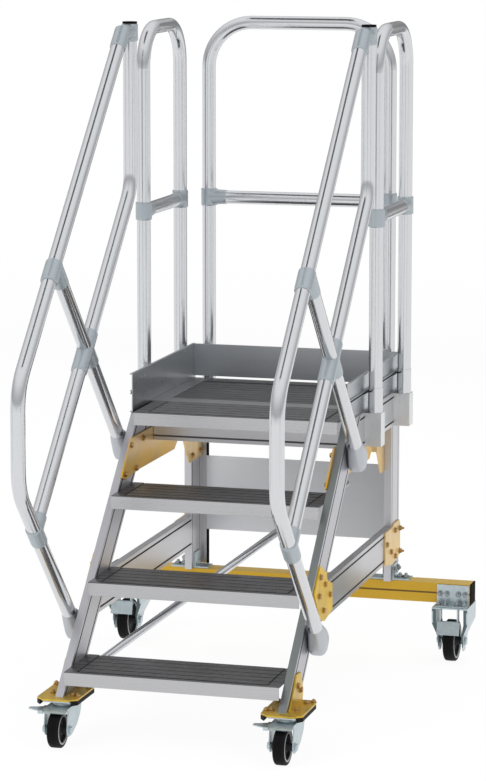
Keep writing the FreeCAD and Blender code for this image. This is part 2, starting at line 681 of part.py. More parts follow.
def build_front_casters():
    under_plate = "Dims.stringer_bottom - Dims.foot_plate"
    plate_low = "%s - Dims.caster_plate" % under_plate
    race_low = "Dims.fork_top + Dims.race_height"
    mounts = []
    for side, sign in (("left", "-"), ("right", "")):
        centre = "%sDims.caster_x + Dims.caster_shift" % sign
        plate_block = block("caster_mount_" + side, ("%s - Dims.front_plate_width / 2" % centre,
                                                     "%s + Dims.front_plate_width / 2" % centre),
                            ("Dims.swivel_y - Dims.front_plate_depth / 2",
                             "Dims.swivel_y + Dims.front_plate_depth / 2"), (plate_low, under_plate))
        race = round_bar("caster_race_" + side, "z", "Dims.race_radius", (centre, "Dims.swivel_y"),
                         race_low, plate_low)
        mounts.append(fused("caster_mount_race_" + side, [plate_block, race]))
        sub_part(front_fork("fork_" + side, centre, race_low), "front_fork_" + side)
        sub_part(pedal("pedal_" + side, centre), "front_pedal_" + side)
        tyre, rim = wheel("front_" + side, centre, "Dims.front_axle_y", "Dims.front_wheel",
                          "Dims.front_tyre_width", "Dims.axle")
        sub_part(tyre, "front_tyre_" + side)
        sub_part(rim, "front_rim_" + side)
    sub_part(group("caster_mounts", mounts), "front_caster_plates")


def front_fork(label, x, race_low):
    """A pressed fork, its ball race, pedal lugs and pin, and the axle as a second solid."""
    inner = "Dims.fork_half - Dims.fork_sheet"
    head = block(label + "_head", ("%s - Dims.fork_half" % x, "%s + Dims.fork_half" % x),
                 ("Dims.front_axle_y - 7", "Dims.swivel_y + 58"),
                 ("Dims.fork_top - Dims.fork_sheet", "Dims.fork_top"))
    race = round_bar(label + "_race", "z", "Dims.race_radius - 3", (x, "Dims.swivel_y"),
                     "Dims.fork_top", "%s - Dims.race_gap" % race_low)
    pieces = [head, race]
    for name, low, high in (("_minus", "%s - Dims.fork_half" % x, "%s - (%s)" % (x, inner)),
                            ("_plus", "%s + %s" % (x, inner), "%s + Dims.fork_half" % x)):
        pieces.append(prism(label + name, [FORK_SIDE], low, high))
    pieces.append(prism(label + "_apron", [FORK_APRON], "%s - Dims.fork_half" % x,
                        "%s + Dims.fork_half" % x))
    pin_x = "%s - Dims.pedal_pin_offset" % x
    for name, low, high in (("_front_lug", "Dims.pedal_front - 4", "Dims.pedal_front - Dims.race_gap"),
                            ("_rear_lug", "Dims.pedal_rear + Dims.race_gap", "Dims.pedal_rear + 4")):
        pieces.append(block(label + name, ("%s - 4" % pin_x, "%s - Dims.fork_half" % x), (low, high),
                            ("Dims.pedal_pin_z - 4", "Dims.fork_top - Dims.fork_sheet")))
    pieces.append(block(label + "_lug_arm", ("%s - Dims.fork_half" % x, "%s - (%s)" % (x, inner)),
                        ("Dims.pedal_front - 4", "Dims.front_axle_y"),
                        ("Dims.pedal_pin_z - 4", "Dims.fork_top - Dims.fork_sheet")))
    pieces.append(round_bar(label + "_pin", "y", "Dims.pedal_pin / 2", (pin_x, "Dims.pedal_pin_z"),
                            "Dims.pedal_front - 4", "Dims.pedal_rear + 4"))
    shell = fused(label + "_shell", pieces)
    bored = cut(label + "_bored", shell, [
        round_bar(label + "_hole", "x", "Dims.axle / 2", ("Dims.front_axle_y", "Dims.front_wheel / 2"),
                  "%s - Dims.fork_half - 1" % x, "%s + Dims.fork_half + 1" % x)])
    return group(label, [bored, axle(label, x, "Dims.front_axle_y", "Dims.front_wheel / 2",
                                     "Dims.axle / 2", "Dims.fork_half", inner)])


def axle(label, x, y, z, radius, outer, inner):
    """A bolt through fork and hub, with spacers beside the hub and a head at both ends."""
    shaft = round_bar(label + "_axle", "x", radius, (y, z), "%s - %s - Dims.axle_head" % (x, outer),
                      "%s + %s + Dims.axle_head" % (x, outer))
    pieces = [shaft]
    for name, low, high in (("_head", "%s - %s - Dims.axle_head" % (x, outer), "%s - %s" % (x, outer)),
                            ("_nut", "%s + %s" % (x, outer), "%s + %s + Dims.axle_head" % (x, outer)),
                            ("_spacer_a", "%s - (%s)" % (x, inner), "%s - Dims.hub_half" % x),
                            ("_spacer_b", "%s + Dims.hub_half" % x, "%s + (%s)" % (x, inner))):
        pieces.append(round_bar(label + name, "x", "%s + 4" % radius, (y, z), low, high))
    return fused(label + "_axle_bolt", pieces)


def wheel(label, x, y, diameter, width, bore):
    """A rounded tyre and the rim inside it, each turned about the axle."""
    radius = "%s / 2" % diameter
    middle = (y, radius)
    tread = round_bar(label + "_tread", "x", radius, middle, "%s - %s / 2" % (x, width),
                      "%s + %s / 2" % (x, width))
    shoulder = doc.addObject("Part::Fillet", label + "_shoulder")
    shoulder.Base = tread
    doc.recompute()
    round_size = size("front_tyre_width") / 5
    rims = [number for number, edge in enumerate(tread.Shape.Edges, start=1)
            if isinstance(edge.Curve, Part.Circle)]
    shoulder.Edges = [(number, round_size, round_size) for number in rims]
    seat = "%s - Dims.tyre_wall" % radius
    tyre = cut(label + "_tyre", shoulder, [
        round_bar(label + "_seat", "x", seat, middle, "%s - %s" % (x, width), "%s + %s" % (x, width))])
    ring = round_bar(label + "_ring", "x", seat, middle, "%s - %s / 2 + 1" % (x, width),
                     "%s + %s / 2 - 1" % (x, width))
    hub = round_bar(label + "_hub", "x", "%s + 6" % ("%s / 2" % bore), middle, "%s - Dims.hub_half + Dims.race_gap" % x,
                    "%s + Dims.hub_half - Dims.race_gap" % x)
    recesses = []
    for name, low, high in (("_recess_a", "%s - %s / 2" % (x, width), "%s - Dims.web_half" % x),
                            ("_recess_b", "%s + Dims.web_half" % x, "%s + %s / 2" % (x, width))):
        recesses.append(round_bar(label + name, "x", "%s - Dims.rim_wall" % seat, middle, low, high))
    solid = fused(label + "_rim_solid", [cut(label + "_ring_web", ring, recesses), hub])
    rim = cut(label + "_rim", solid, [
        round_bar(label + "_bore", "x", "%s / 2 + Dims.running_fit" % bore, middle, "%s - 40" % x,
                  "%s + 40" % x)])
    return tyre, rim


def pedal(label, x):
    """A flat foot pedal on a barrel, tapering sideways to its tip."""
    pin_x = "%s - Dims.pedal_pin_offset" % x
    barrel = round_bar(label + "_barrel", "y", "Dims.pedal_pin / 2 + 1.8", (pin_x, "Dims.pedal_pin_z"),
                       "Dims.pedal_front", "Dims.pedal_rear")
    low = "Dims.pedal_pin_z + 1"
    outline = [(pin_x, "Dims.pedal_front"), (pin_x, "Dims.pedal_rear"),
               ("%s - 62" % x, "Dims.pedal_rear - 10"), ("%s - Dims.pedal_reach" % x, "-24"),
               ("%s - Dims.pedal_reach" % x, "-38"), ("%s - 62" % x, "Dims.pedal_front + 10")]
    tongue = plate(label + "_tongue", outline, low, "%s + Dims.pedal_sheet" % low)
    return cut(label, fused(label + "_solid", [barrel, tongue]), [
        round_bar(label + "_bore", "y", "Dims.pedal_pin / 2 + Dims.running_fit",
                  (pin_x, "Dims.pedal_pin_z"), "Dims.pedal_front - 1", "Dims.pedal_rear + 1")])


# ---------------------------------------------------------------- rear casters

HOUSING_SIDE = ((1172, 168), (1297, 168), (1297, 132), (1284, 104), (1250, 66), (1232, 44),
                (1222, 33), (1202, 33), (1193, 44), (1184, 84), (1172, 132))


def bent_side(label, sign):
    """One side of the housing in (X, Z): upright at the top, leaning in towards the axle."""
    x = "Dims.rear_x %s " % sign
    sheet_size = "Dims.housing_sheet"
    outline = [(x + "Dims.housing_half", "Dims.housing_top"), (x + "Dims.housing_half", "118"),
               (x + "Dims.housing_tip_half", "78"), (x + "Dims.housing_tip_half", "30"),
               (x + "(Dims.housing_tip_half - %s)" % sheet_size, "30"),
               (x + "(Dims.housing_tip_half - %s)" % sheet_size, "79"),
               (x + "(Dims.housing_half - %s)" % sheet_size, "119"),
               (x + "(Dims.housing_half - %s)" % sheet_size, "Dims.housing_top")]
    return slab(label, outline, "Dims.housing_front", "Dims.housing_rear")


def build_rear_casters():
    x = "Dims.rear_x"
    wide = ("%s - Dims.bracket_half" % x, "%s + Dims.bracket_half" % x)
    bracket = fused("rear_bracket", [
        block("rear_bracket_face", wide, ("Dims.traverse_y - Dims.bracket_sheet", "Dims.traverse_y"),
              ("Dims.housing_top", "Dims.post_bottom - Dims.bracket_drop")),
        block("rear_bracket_foot", wide, ("Dims.bracket_front",
                                          "Dims.traverse_y + Dims.traverse_size"),
              ("Dims.housing_top", "Dims.housing_top + Dims.bracket_sheet"))])
    sub_part(both_sides("rear_brackets", [bracket]), "rear_caster_brackets")
    sub_part(both_sides("housings", rear_housing(x)), "rear_caster_housings")
    tyre, rim = wheel("rear", x, "Dims.rear_axle_y", "Dims.rear_wheel", "Dims.rear_tyre_width",
                      "Dims.rear_axle")
    side_pair("rear_tyre", tyre)
    side_pair("rear_rim", rim)
    side_pair("rear_brake", rear_brake("brake", x))


def rear_housing(x):
    outline = prism("housing_outline", [HOUSING_SIDE], "%s - 60" % x, "%s + 60" % x)
    sides = fused("housing_sides", [bent_side("housing_out", "+"), bent_side("housing_in", "-")])
    trimmed = doc.addObject("Part::Common", "housing_trimmed")
    trimmed.Base = sides
    trimmed.Tool = outline
    top = block("housing_roof", ("%s - Dims.housing_half" % x, "%s + Dims.housing_half" % x),
                ("Dims.housing_front", "Dims.housing_rear"),
                ("Dims.housing_top - Dims.housing_sheet", "Dims.housing_top"))
    pieces = [trimmed, top]
    for name, low, high in (("_lug_a", "%s - Dims.lug_inner - 4" % x, "%s - Dims.lug_inner" % x),
                            ("_lug_b", "%s + Dims.lug_inner" % x, "%s + Dims.lug_inner + 4" % x)):
        pieces.append(block("housing" + name, (low, high), ("Dims.brake_y - 7", "Dims.brake_y + 12"),
                            ("Dims.brake_z - 7", "Dims.housing_top - Dims.housing_sheet")))
    pieces.append(round_bar("brake_pin_bar", "x", "Dims.brake_pin / 2", ("Dims.brake_y", "Dims.brake_z"),
                            "%s - Dims.lug_inner - 6" % x, "%s + Dims.lug_inner + 6" % x))
    shell = cut("housing_shell", fused("housing_solid", pieces), [
        round_bar("housing_hole", "x", "Dims.rear_axle / 2", ("Dims.rear_axle_y", "Dims.rear_wheel / 2"),
                  "%s - 60" % x, "%s + 60" % x)])
    inner = "(Dims.housing_tip_half - Dims.housing_sheet)"
    bolt = axle("housing", x, "Dims.rear_axle_y", "Dims.rear_wheel / 2", "Dims.rear_axle / 2",
                "Dims.housing_tip_half", inner)
    return [shell, bolt]


# Pressed foot plate of the rear brake in (Y, Z), in front of its pin.
BRAKE_PLATE = ((1160, 130), (1157, 130), (1145, 92), (1148, 91), (1158, 118), (1166, 119),
               (1166, 126), (1160, 126))


def rear_brake(label, x):
    """A brake pedal across the front of the housing, turning on the pin in its lugs."""
    barrel = round_bar(label + "_barrel", "x", "Dims.brake_pin / 2 + 3", ("Dims.brake_y", "Dims.brake_z"),
                       "%s - Dims.lug_inner + Dims.race_gap" % x,
                       "%s + Dims.lug_inner - Dims.race_gap" % x)
    web = prism(label + "_web", [BRAKE_PLATE], "%s - Dims.lug_inner + Dims.race_gap" % x,
                "%s + Dims.lug_inner - Dims.race_gap" % x)
    face = prism(label + "_face", [BRAKE_PLATE[:4]], "%s - 34" % x, "%s + 34" % x)
    return cut(label, fused(label + "_solid", [barrel, web, face]), [
        round_bar(label + "_bore", "x", "Dims.brake_pin / 2 + Dims.running_fit",
                  ("Dims.brake_y", "Dims.brake_z"), "%s - 40" % x, "%s + 40" % x)])


# ---------------------------------------------------------------- handrails

def build_handrails():
    x = size("rail_x")
    half_fit = size("fitting") / 2
    front = size("rail_front")
    handrail = pipe([(x, size("rail_end_y"), rail_height("handrail_n", size("rail_end_y"))),
                     (x, front, rail_height("handrail_n", front)),
                     (x, front, return_height(front)),
                     rail_point(size("return_t"), size("kneerail_n") - size("tee_above"))],
                    (size("rail_high_bend"), size("rail_low_bend")))
    side_pair("handrail", shaped("handrail", handrail))

    knee_corner = (x, size("post_y"), rail_height("kneerail_n", size("post_y")))
    upper = pipe([(x, size("post_y"), size("post_top")), knee_corner,
                  rail_point(size("strut_t") + size("cross_up"), size("kneerail_n"))],
                 (size("knee_bend"),))
    lower = pipe([rail_point(size("strut_t") - size("cross_down"), size("kneerail_n")),
                  rail_point(size("return_t") + size("tee_side"), size("kneerail_n"))])
    side_pair("knee_rail", group("knee_rail", [shaped("knee_upper", upper),
                                               shaped("knee_lower", lower)]))

    struts = [pipe([rail_point(size("strut_t"), size("handrail_n") + size("saddle_branch")),
                    rail_point(size("strut_t"), size("kneerail_n") - size("cross_above"))]),
              pipe([rail_point(size("strut_t"), size("kneerail_n") + size("cross_below")),
                    rail_point(size("strut_t"), size("socket_end"))]),
              pipe([rail_point(size("return_t"), size("kneerail_n") + size("tee_below")),
                    rail_point(size("return_t"), size("socket_end"))])]
    struts = [shaped("strut_%d" % number, tube) for number, tube in enumerate(struts)]
    sub_part(both_sides("struts", struts), "handrail_struts")

    castings = rail_castings(half_fit)
    castings = [shaped("casting_%d" % number, form) for number, form in enumerate(castings)]
    sub_part(both_sides("castings", castings), "handrail_fittings")


def rail_height(offset, y):
    """Height at Y of the line that runs the named offset from the nose line."""
    length = math.hypot(size("run"), size("riser"))
    return size("riser") + (y * size("riser") - size(offset) * length) / size("run")


def return_height(y):
    """Height at Y of the lower leg of the handrail, which is square to the pitch."""
    foot_y, foot_z = pitch_point(size("return_t"), 0)
    return foot_z + (foot_y - y) * size("run") / size("riser")


def rail_castings(radius):
    """Cast joints of the right-hand rails: T, cross, saddle and top cap."""
    t_low, t_high = size("return_t"), size("strut_t")
    n_knee, n_hand = size("kneerail_n"), size("handrail_n")
    outer = size("tube") / 2 + size("fit_gap")
    tee = collar(rail_point(t_low, n_knee - size("tee_above")),
                 rail_point(t_low, n_knee + size("tee_below")), radius, 0)
    tee = tee.fuse(collar(rail_point(t_low, n_knee), rail_point(t_low + size("tee_side"), n_knee),
                          radius, 0))
    tee = tee.cut(collar(rail_point(t_low, n_knee - size("fitting")),
                         rail_point(t_low, n_knee - size("tee_above")), outer, 0))
    cross = collar(rail_point(t_high - size("cross_down"), n_knee),
                   rail_point(t_high + size("cross_up"), n_knee), radius, 0)
    cross = cross.fuse(collar(rail_point(t_high, n_knee - size("cross_above")),
                              rail_point(t_high, n_knee + size("cross_below")), radius, 0))
    cross = cross.cut(collar(rail_point(t_high, n_knee - size("fitting")),
                             rail_point(t_high, n_knee - size("cross_above")), outer, 0))
    saddle = collar(rail_point(t_high - size("saddle_down"), n_hand),
                    rail_point(t_high + size("saddle_up"), n_hand), radius + 1, 0)
    saddle = saddle.fuse(collar(rail_point(t_high, n_hand),
                                rail_point(t_high, n_hand + size("saddle_branch")), radius, 0))
    saddle = saddle.cut(collar(rail_point(t_high - 2 * size("saddle_down"), n_hand),
                               rail_point(t_high + 2 * size("saddle_down"), n_hand), outer, 0))
    x, y = size("rail_x"), size("post_y")
    low = size("post_top") - 50
    end_y = size("rail_end_y")
    start = (x, end_y - 42, rail_height("handrail_n", end_y - 42))
    end = (x, end_y, rail_height("handrail_n", end_y))
    post = collar((x, y, low), (x, y, size("post_top")), radius, 0)
    sleeve = collar(start, (x, end_y + 8, rail_height("handrail_n", end_y + 8)), radius, 0)
    bridge = collar((x, end_y, low + 28), (x, y, low + 28), radius - 1, 0)
    cap = post.fuse([sleeve, bridge])
    cap = cap.cut(collar((x, y, low - 1), (x, y, size("post_top") + 1), outer, 0))
    cap = cap.cut(collar(start, end, outer, 0))
    return [tee, cross, saddle, cap]


def build_sockets():
    """Light alloy sockets that carry the rail tubes on the outer faces of the stringers."""
    outlines = []
    for t in (size("return_t"), size("strut_t")):
        end = size("socket_end")
        flare = ((-25, end), (25, end), (38, 112), (36, 128), (22, 137), (-22, 137), (-36, 128),
                 (-38, 112))
        outlines.append([pitch_point(t + across, n) for across, n in flare])
    sockets = []
    for number, outline in enumerate(outlines):
        sockets.append(prism("socket_%d" % number, [outline], "Dims.half_width + Dims.profile",
                             "Dims.half_width + Dims.profile + Dims.socket_depth"))
    sub_part(both_sides("sockets", sockets), "stringer_sockets")


def build_brace():
    """The diagonal tube behind the treads: pressed flat ends on spacers behind the stringers."""
    reach = size("half_width") + size("profile") / 2 - size("brace_inset")
    climb, t_middle, n = size("brace_climb"), size("brace_t"), size("brace_n")
    radius = size("brace_tube") / 2
    middle = Vector(0, *pitch_point(t_middle, n))
    top = Vector(reach, *pitch_point(t_middle + reach * climb, n))
    behind = Vector(0, *pitch_point(t_middle, n + 1)) - middle
    along = (top - middle).normalize()
    length = (top - middle).Length
    tab, width, tab_length = size("brace_tab"), size("brace_tab_width"), size("brace_tab_length")
    tab_start = length + size("brace_tab_end") - tab_length
    round_part = tab_start + tab_length / 3
    gap = n - tab / 2 - size("stringer_front") - size("profile_depth")

    ends = []
    spacers = []
    for sign in (1, -1):
        way = along * sign
        side = way.cross(behind) * -1
        end = Part.makeBox(tab_length, width, tab)
        end.Placement = Placement(Vector(), Rotation(way, side, way.cross(side), "XYZ"))
        end.translate(middle + way * tab_start - way.cross(side) * (tab / 2) - side * (width / 2))
        ends.append(end)
        seat = middle + way * length - behind * tab / 2
        spacers.append(Part.makeCylinder(size("brace_spacer") / 2, gap, seat, behind * -1))
    bar = Part.makeCylinder(radius, 2 * round_part, middle - along * round_part, along)
    parts = [shaped("brace_bar", bar.fuse(ends))]
    parts += [shaped("brace_spacer_%d" % number, form) for number, form in enumerate(spacers)]
    sub_part(group("brace", parts), "diagonal_brace")


# ---------------------------------------------------------------- guard hoops

def hoop_legs():
    """(X, Y) of the right-hand legs and the direction in which their rail leaves them."""
    x = size("hoop_x")
    legs = [((x, size("hoop_front")), Vector(0, 1, 0)), ((x, size("hoop_back")), Vector(0, -1, 0))]
    legs.append(((size("rear_hoop_half"), size("rear_hoop_y")), Vector(-1, 0, 0)))
    return legs


def build_hoops():
    x = size("hoop_x")
    low = size("clamp_bottom") + 4
    top = size("hoop_top")
    front, back = size("hoop_front"), size("hoop_back")
    bend = size("hoop_bend")
    side = pipe([(x, front, low), (x, front, top), (x, back, top), (x, back, low)], (bend, bend))
    side_pair("guard_hoop", shaped("guard_hoop", side))
    half, y = size("rear_hoop_half"), size("rear_hoop_y")
    bend = size("rear_hoop_bend")
    rear = pipe([(-half, y, low), (-half, y, top), (half, y, top), (half, y, low)], (bend, bend))
    sub_part(shaped("rear_hoop", rear), "guard_hoop_rear")

    z = size("mid_rail")
    start = size("tube") / 2 + 3
    side_rail = shaped("mid_side", pipe([(x, front + start, z), (x, back - start, z)]))
    rear_rail = shaped("mid_rear", pipe([(-half + start, y, z), (half - start, y, z)]))
    sub_part(group("mid_rail_set", [side_rail, mirrored("mid_side_left", side_rail), rear_rail]),
             "mid_rails")

    fittings = []
    sleeves = []
    for number, (leg, way) in enumerate(hoop_legs()):
        fittings.append(shaped("mid_fitting_%d" % number, mid_fitting(leg, way)))
        sleeves.append(shaped("leg_sleeve_%d" % number, collar(
            (*leg, size("clamp_top")), (*leg, size("sleeve_top")), size("sleeve") / 2,
            size("tube") / 2 + size("fit_gap"))))
    sub_part(both_sides("mid_fittings", fittings), "mid_rail_fittings")
    sub_part(both_sides("leg_sleeves", sleeves), "hoop_leg_sleeves")
    sub_part(both_sides("leg_clamps", leg_clamps()), "hoop_leg_clamps")


def mid_fitting(leg, way):
    """A cast T round a hoop leg that takes the end of a mid rail."""
    radius = size("fitting") / 2
    bore = size("tube") / 2 + size("fit_gap")
    z, half = size("mid_rail"), size("mid_sleeve") / 2
    centre = Vector(*leg, z)
    sleeve = Part.makeCylinder(radius, 2 * half, Vector(*leg, z - half))
    neck = Part.makeCylinder(radius, size("mid_neck"), centre, way)
    form = sleeve.fuse(neck)
    form = form.cut(Part.makeCylinder(bore, 4 * half, Vector(*leg, z - 2 * half)))
    return form.cut(Part.makeCylinder(bore, size("mid_neck"), centre + way * radius, way))


def leg_clamps():
    """Square extruded clamps on the outer faces of the frame, bored for the hoop legs."""
    face = "Dims.half_width + Dims.profile"
    height = ("Dims.clamp_bottom", "Dims.clamp_top")
    clamps = []
    for name, y in (("front", "Dims.hoop_front"), ("back", "Dims.hoop_back")):
        body = block("clamp_%s_body" % name, (face, "%s + Dims.clamp" % face),
                     ("%s - Dims.clamp / 2" % y, "%s + Dims.clamp / 2" % y), height)
        clamps.append(cut("clamp_" + name, body, [leg_bore("clamp_%s_bore" % name, "Dims.hoop_x", y)]))
    x, y = "Dims.rear_hoop_half", "Dims.frame_rear"
    body = block("clamp_rear_body", ("%s - Dims.clamp / 2" % x, "%s + Dims.clamp / 2" % x),
                 (y, "%s + Dims.clamp" % y), height)
    clamps.append(cut("clamp_rear", body, [leg_bore("clamp_rear_bore", x, "Dims.rear_hoop_y")]))
    return clamps


def leg_bore(label, x, y):
    return round_bar(label, "z", "Dims.tube / 2 + Dims.fit_gap", (x, y), "Dims.clamp_bottom + 4",
                     "Dims.clamp_top")


# ---------------------------------------------------------------- the whole stair

build_frame()
build_platform()
build_rear_closure()
build_brackets()
build_bolts()
build_traverse()
build_plastic()
build_feet()
build_front_casters()
build_rear_casters()
build_handrails()
build_sockets()
build_brace()
build_hoops()
doc.recompute()

failed = [obj.Name for obj in doc.Objects if "Invalid" in obj.State or "Error" in obj.State]
if failed:
    raise RuntimeError("objects that did not build: " + ", ".join(failed))
os.makedirs("parts", exist_ok=True)
for obj in sub_parts:
    if obj.Shape.isNull() or not obj.Shape.isValid():
        raise RuntimeError(obj.Label + " has no valid shape")
    obj.Shape.exportStep("parts/%s.step" % obj.Label)
print(len(sub_parts), "sub-parts")
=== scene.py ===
import json
import math

import bmesh
import bpy
from mathutils import Matrix, Vector


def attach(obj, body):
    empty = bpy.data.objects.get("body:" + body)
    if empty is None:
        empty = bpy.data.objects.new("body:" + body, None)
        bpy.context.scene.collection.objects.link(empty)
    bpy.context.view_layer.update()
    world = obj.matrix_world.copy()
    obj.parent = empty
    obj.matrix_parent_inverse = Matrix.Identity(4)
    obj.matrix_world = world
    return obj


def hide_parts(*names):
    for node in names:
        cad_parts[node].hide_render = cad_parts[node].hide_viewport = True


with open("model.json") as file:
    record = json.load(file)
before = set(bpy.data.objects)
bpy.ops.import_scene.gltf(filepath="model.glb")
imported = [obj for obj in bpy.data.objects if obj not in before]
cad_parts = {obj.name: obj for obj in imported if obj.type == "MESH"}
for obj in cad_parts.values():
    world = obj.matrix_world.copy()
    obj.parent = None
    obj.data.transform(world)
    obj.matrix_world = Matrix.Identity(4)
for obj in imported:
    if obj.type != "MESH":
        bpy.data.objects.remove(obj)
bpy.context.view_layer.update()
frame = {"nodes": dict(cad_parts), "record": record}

PI = math.pi
NODES = frame["nodes"]


# ---------------------------------------------------------------- places on the stair, in metres

# The directions of the CAD: ALONG climbs the nose line, BEHIND points down and back, square to it.
RISER, RUN = 0.203, 0.208
SLOPE = math.hypot(RISER, RUN)
PITCH = math.atan2(RISER, RUN)
BACK = -0.560
ALONG = Vector((0, RUN / SLOPE, RISER / SLOPE))
BEHIND = Vector((0, RISER / SLOPE, -RUN / SLOPE))
ACROSS = Vector((1, 0, 0))
UP = Vector((0, 0, 1))
FACE_IN, FACE_OUT = 0.300, 0.322

# Rails, hoops and the outside of their castings.
RAIL_X, HOOP_X = 0.350, 0.3475
HAND_N, KNEE_N = -0.719, -0.350
RETURN_T, STRUT_T = 0.220, 0.830
RAIL_END_Y, POST_Y, POST_TOP = 0.693, 0.765, 1.908
HOOP_FRONT, HOOP_BACK = 0.882, 1.247
REAR_HOOP_X, REAR_HOOP_Y = 0.280, 1.3255
FITTING = 0.0232

# Ribs of the treads and the floor, and the smooth border of the floor.
RIB_START, RIB_HEIGHT, BAND_PITCH, BAND_WIDTH = 0.020, 0.002, 0.038, 0.028
BORDER_X, BORDER_Y = 0.2615, 0.335

# Profiles of the frame.
PROFILE_DEPTH, STRINGER_FRONT = 0.100, 0.041
SIDE_RAIL_BOTTOM, LOWER_RAIL_BOTTOM, POST_FRONT = 0.702, 0.299, 1.200

# Wheels: radius, half width, radius of the tyre's seat, radius of the bore.
FRONT_X, FRONT_SHIFT, FRONT_AXLE_Y = 0.314, 0.004, -0.587
REAR_X, REAR_AXLE_Y = 0.509, 0.653
FRONT_WHEEL = (0.050, 0.0165, 0.041, 0.00505)
REAR_WHEEL = (0.0625, 0.017, 0.0535, 0.00605)


def on_pitch(x, t, n):
    """The point t up and n behind the nose line, at x across."""
    return Vector((x, BACK, RISER)) + ALONG * t + BEHIND * n


def slope_y(n, z):
    """Y at height z on the line that runs n behind the nose line."""
    return BACK + n * SLOPE / RISER + (z - RISER) * RUN / RISER


# ---------------------------------------------------------------- node helpers

def ranged(tree, value, start, end, low=0, high=1):
    """Map a value between two numbers to two others."""
    node = tree.nodes.new("ShaderNodeMapRange")
    node.inputs["From Min"].default_value = start
    node.inputs["From Max"].default_value = end
    node.inputs["To Min"].default_value = low
    node.inputs["To Max"].default_value = high
    tree.links.new(value, node.inputs["Value"])
    return node.outputs["Result"]


def chain(tree, value, *steps):
    """Pass a value through (operation, number) maths steps."""
    for operation, number in steps:
        node = tree.nodes.new("ShaderNodeMath")
        node.operation = operation
        node.inputs[1].default_value = number
        tree.links.new(value, node.inputs[0])
        value = node.outputs[0]
    return value


def joined(tree, operation, one, two):
    """One value out of two by a maths operation."""
    node = tree.nodes.new("ShaderNodeMath")
    node.operation = operation
    tree.links.new(one, node.inputs[0])
    tree.links.new(two, node.inputs[1])
    return node.outputs[0]


# ---------------------------------------------------------------- camera, light, floor

# The photograph was taken from the right of the stair, from about nine metres away.
CAMERA_PLACE = (2.477, -8.6205, 2.3555)
CAMERA_TURN = (math.radians(81.293), 0, math.radians(15.921))
CAMERA_LENS = 149.39
CAMERA_SHIFT = (0.0111, -0.0380)
FLOOR_SIZE = 400


def add_camera():
    """The camera of the photograph."""
    data = bpy.data.cameras.new("camera")
    camera = bpy.data.objects.new("camera", data)
    bpy.context.collection.objects.link(camera)
    camera.location = CAMERA_PLACE
    camera.rotation_euler = CAMERA_TURN
    data.lens = CAMERA_LENS
    data.sensor_width = 36
    data.shift_x, data.shift_y = CAMERA_SHIFT
    data.clip_end = 200
    bpy.context.scene.camera = camera


def add_area(name, place, target, size, power):
    """A soft rectangular light, which the metal doesn't reflect."""
    data = bpy.data.lights.new(name, "AREA")
    data.shape = "RECTANGLE"
    data.size, data.size_y = size
    data.energy = power
    lamp = bpy.data.objects.new(name, data)
    bpy.context.collection.objects.link(lamp)
    lamp.location = place
    aim = Vector(target) - Vector(place)
    lamp.rotation_euler = aim.to_track_quat("-Z", "Y").to_euler()
    lamp.visible_glossy = False


def add_world():
    """White studio, darker just above the horizon, which the metal reflects."""
    world = bpy.data.worlds.new("studio")
    bpy.context.scene.world = world
    world.use_nodes = True
    tree = world.node_tree
    tree.nodes.clear()
    out = tree.nodes.new("ShaderNodeOutputWorld")
    back = tree.nodes.new("ShaderNodeBackground")
    coords = tree.nodes.new("ShaderNodeTexCoord")
    split = tree.nodes.new("ShaderNodeSeparateXYZ")
    ramp = tree.nodes.new("ShaderNodeValToRGB")
    tree.links.new(coords.outputs["Generated"], split.inputs[0])
    tree.links.new(ranged(tree, split.outputs["Z"], -1, 1), ramp.inputs["Fac"])
    stops = ((0.0, 0.7), (0.5, 0.8), (0.56, 0.5), (0.66, 0.6), (0.85, 0.95), (1.0, 1.0))
    ramp.color_ramp.elements[0].position = stops[0][0]
    ramp.color_ramp.elements[1].position = stops[-1][0]
    for place, _ in stops[1:-1]:
        ramp.color_ramp.elements.new(place)
    for element, (_, grey) in zip(ramp.color_ramp.elements, stops):
        element.color = (grey, grey, grey * 1.01, 1)
    tree.links.new(ramp.outputs["Color"], back.inputs["Color"])
    back.inputs["Strength"].default_value = 1.0
    tree.links.new(back.outputs[0], out.inputs[0])


def add_floor():
    """A plain pale floor, which glows a little so that it stays white."""
    mesh = bpy.data.meshes.new("floor")
    half = FLOOR_SIZE / 2
    outline = [(-half, -half, 0), (half, -half, 0), (half, half, 0), (-half, half, 0)]
    mesh.from_pydata(outline, [], [(0, 1, 2, 3)])
    floor = bpy.data.objects.new("studio_floor", mesh)
    bpy.context.collection.objects.link(floor)
    mat = bpy.data.materials.new("studio_floor")
    mat.use_nodes = True
    tree = mat.node_tree
    tree.nodes.clear()
    out = tree.nodes.new("ShaderNodeOutputMaterial")
    glow = tree.nodes.new("ShaderNodeEmission")
    glow.inputs["Color"].default_value = (1, 1, 1, 1)
    glow.inputs["Strength"].default_value = 0.93
    paint = tree.nodes.new("ShaderNodeBsdfDiffuse")
    paint.inputs["Color"].default_value = (0.08, 0.08, 0.08, 1)
    add = tree.nodes.new("ShaderNodeAddShader")
    tree.links.new(glow.outputs[0], add.inputs[0])
    tree.links.new(paint.outputs[0], add.inputs[1])
    tree.links.new(add.outputs[0], out.inputs[0])
    mesh.materials.append(mat)


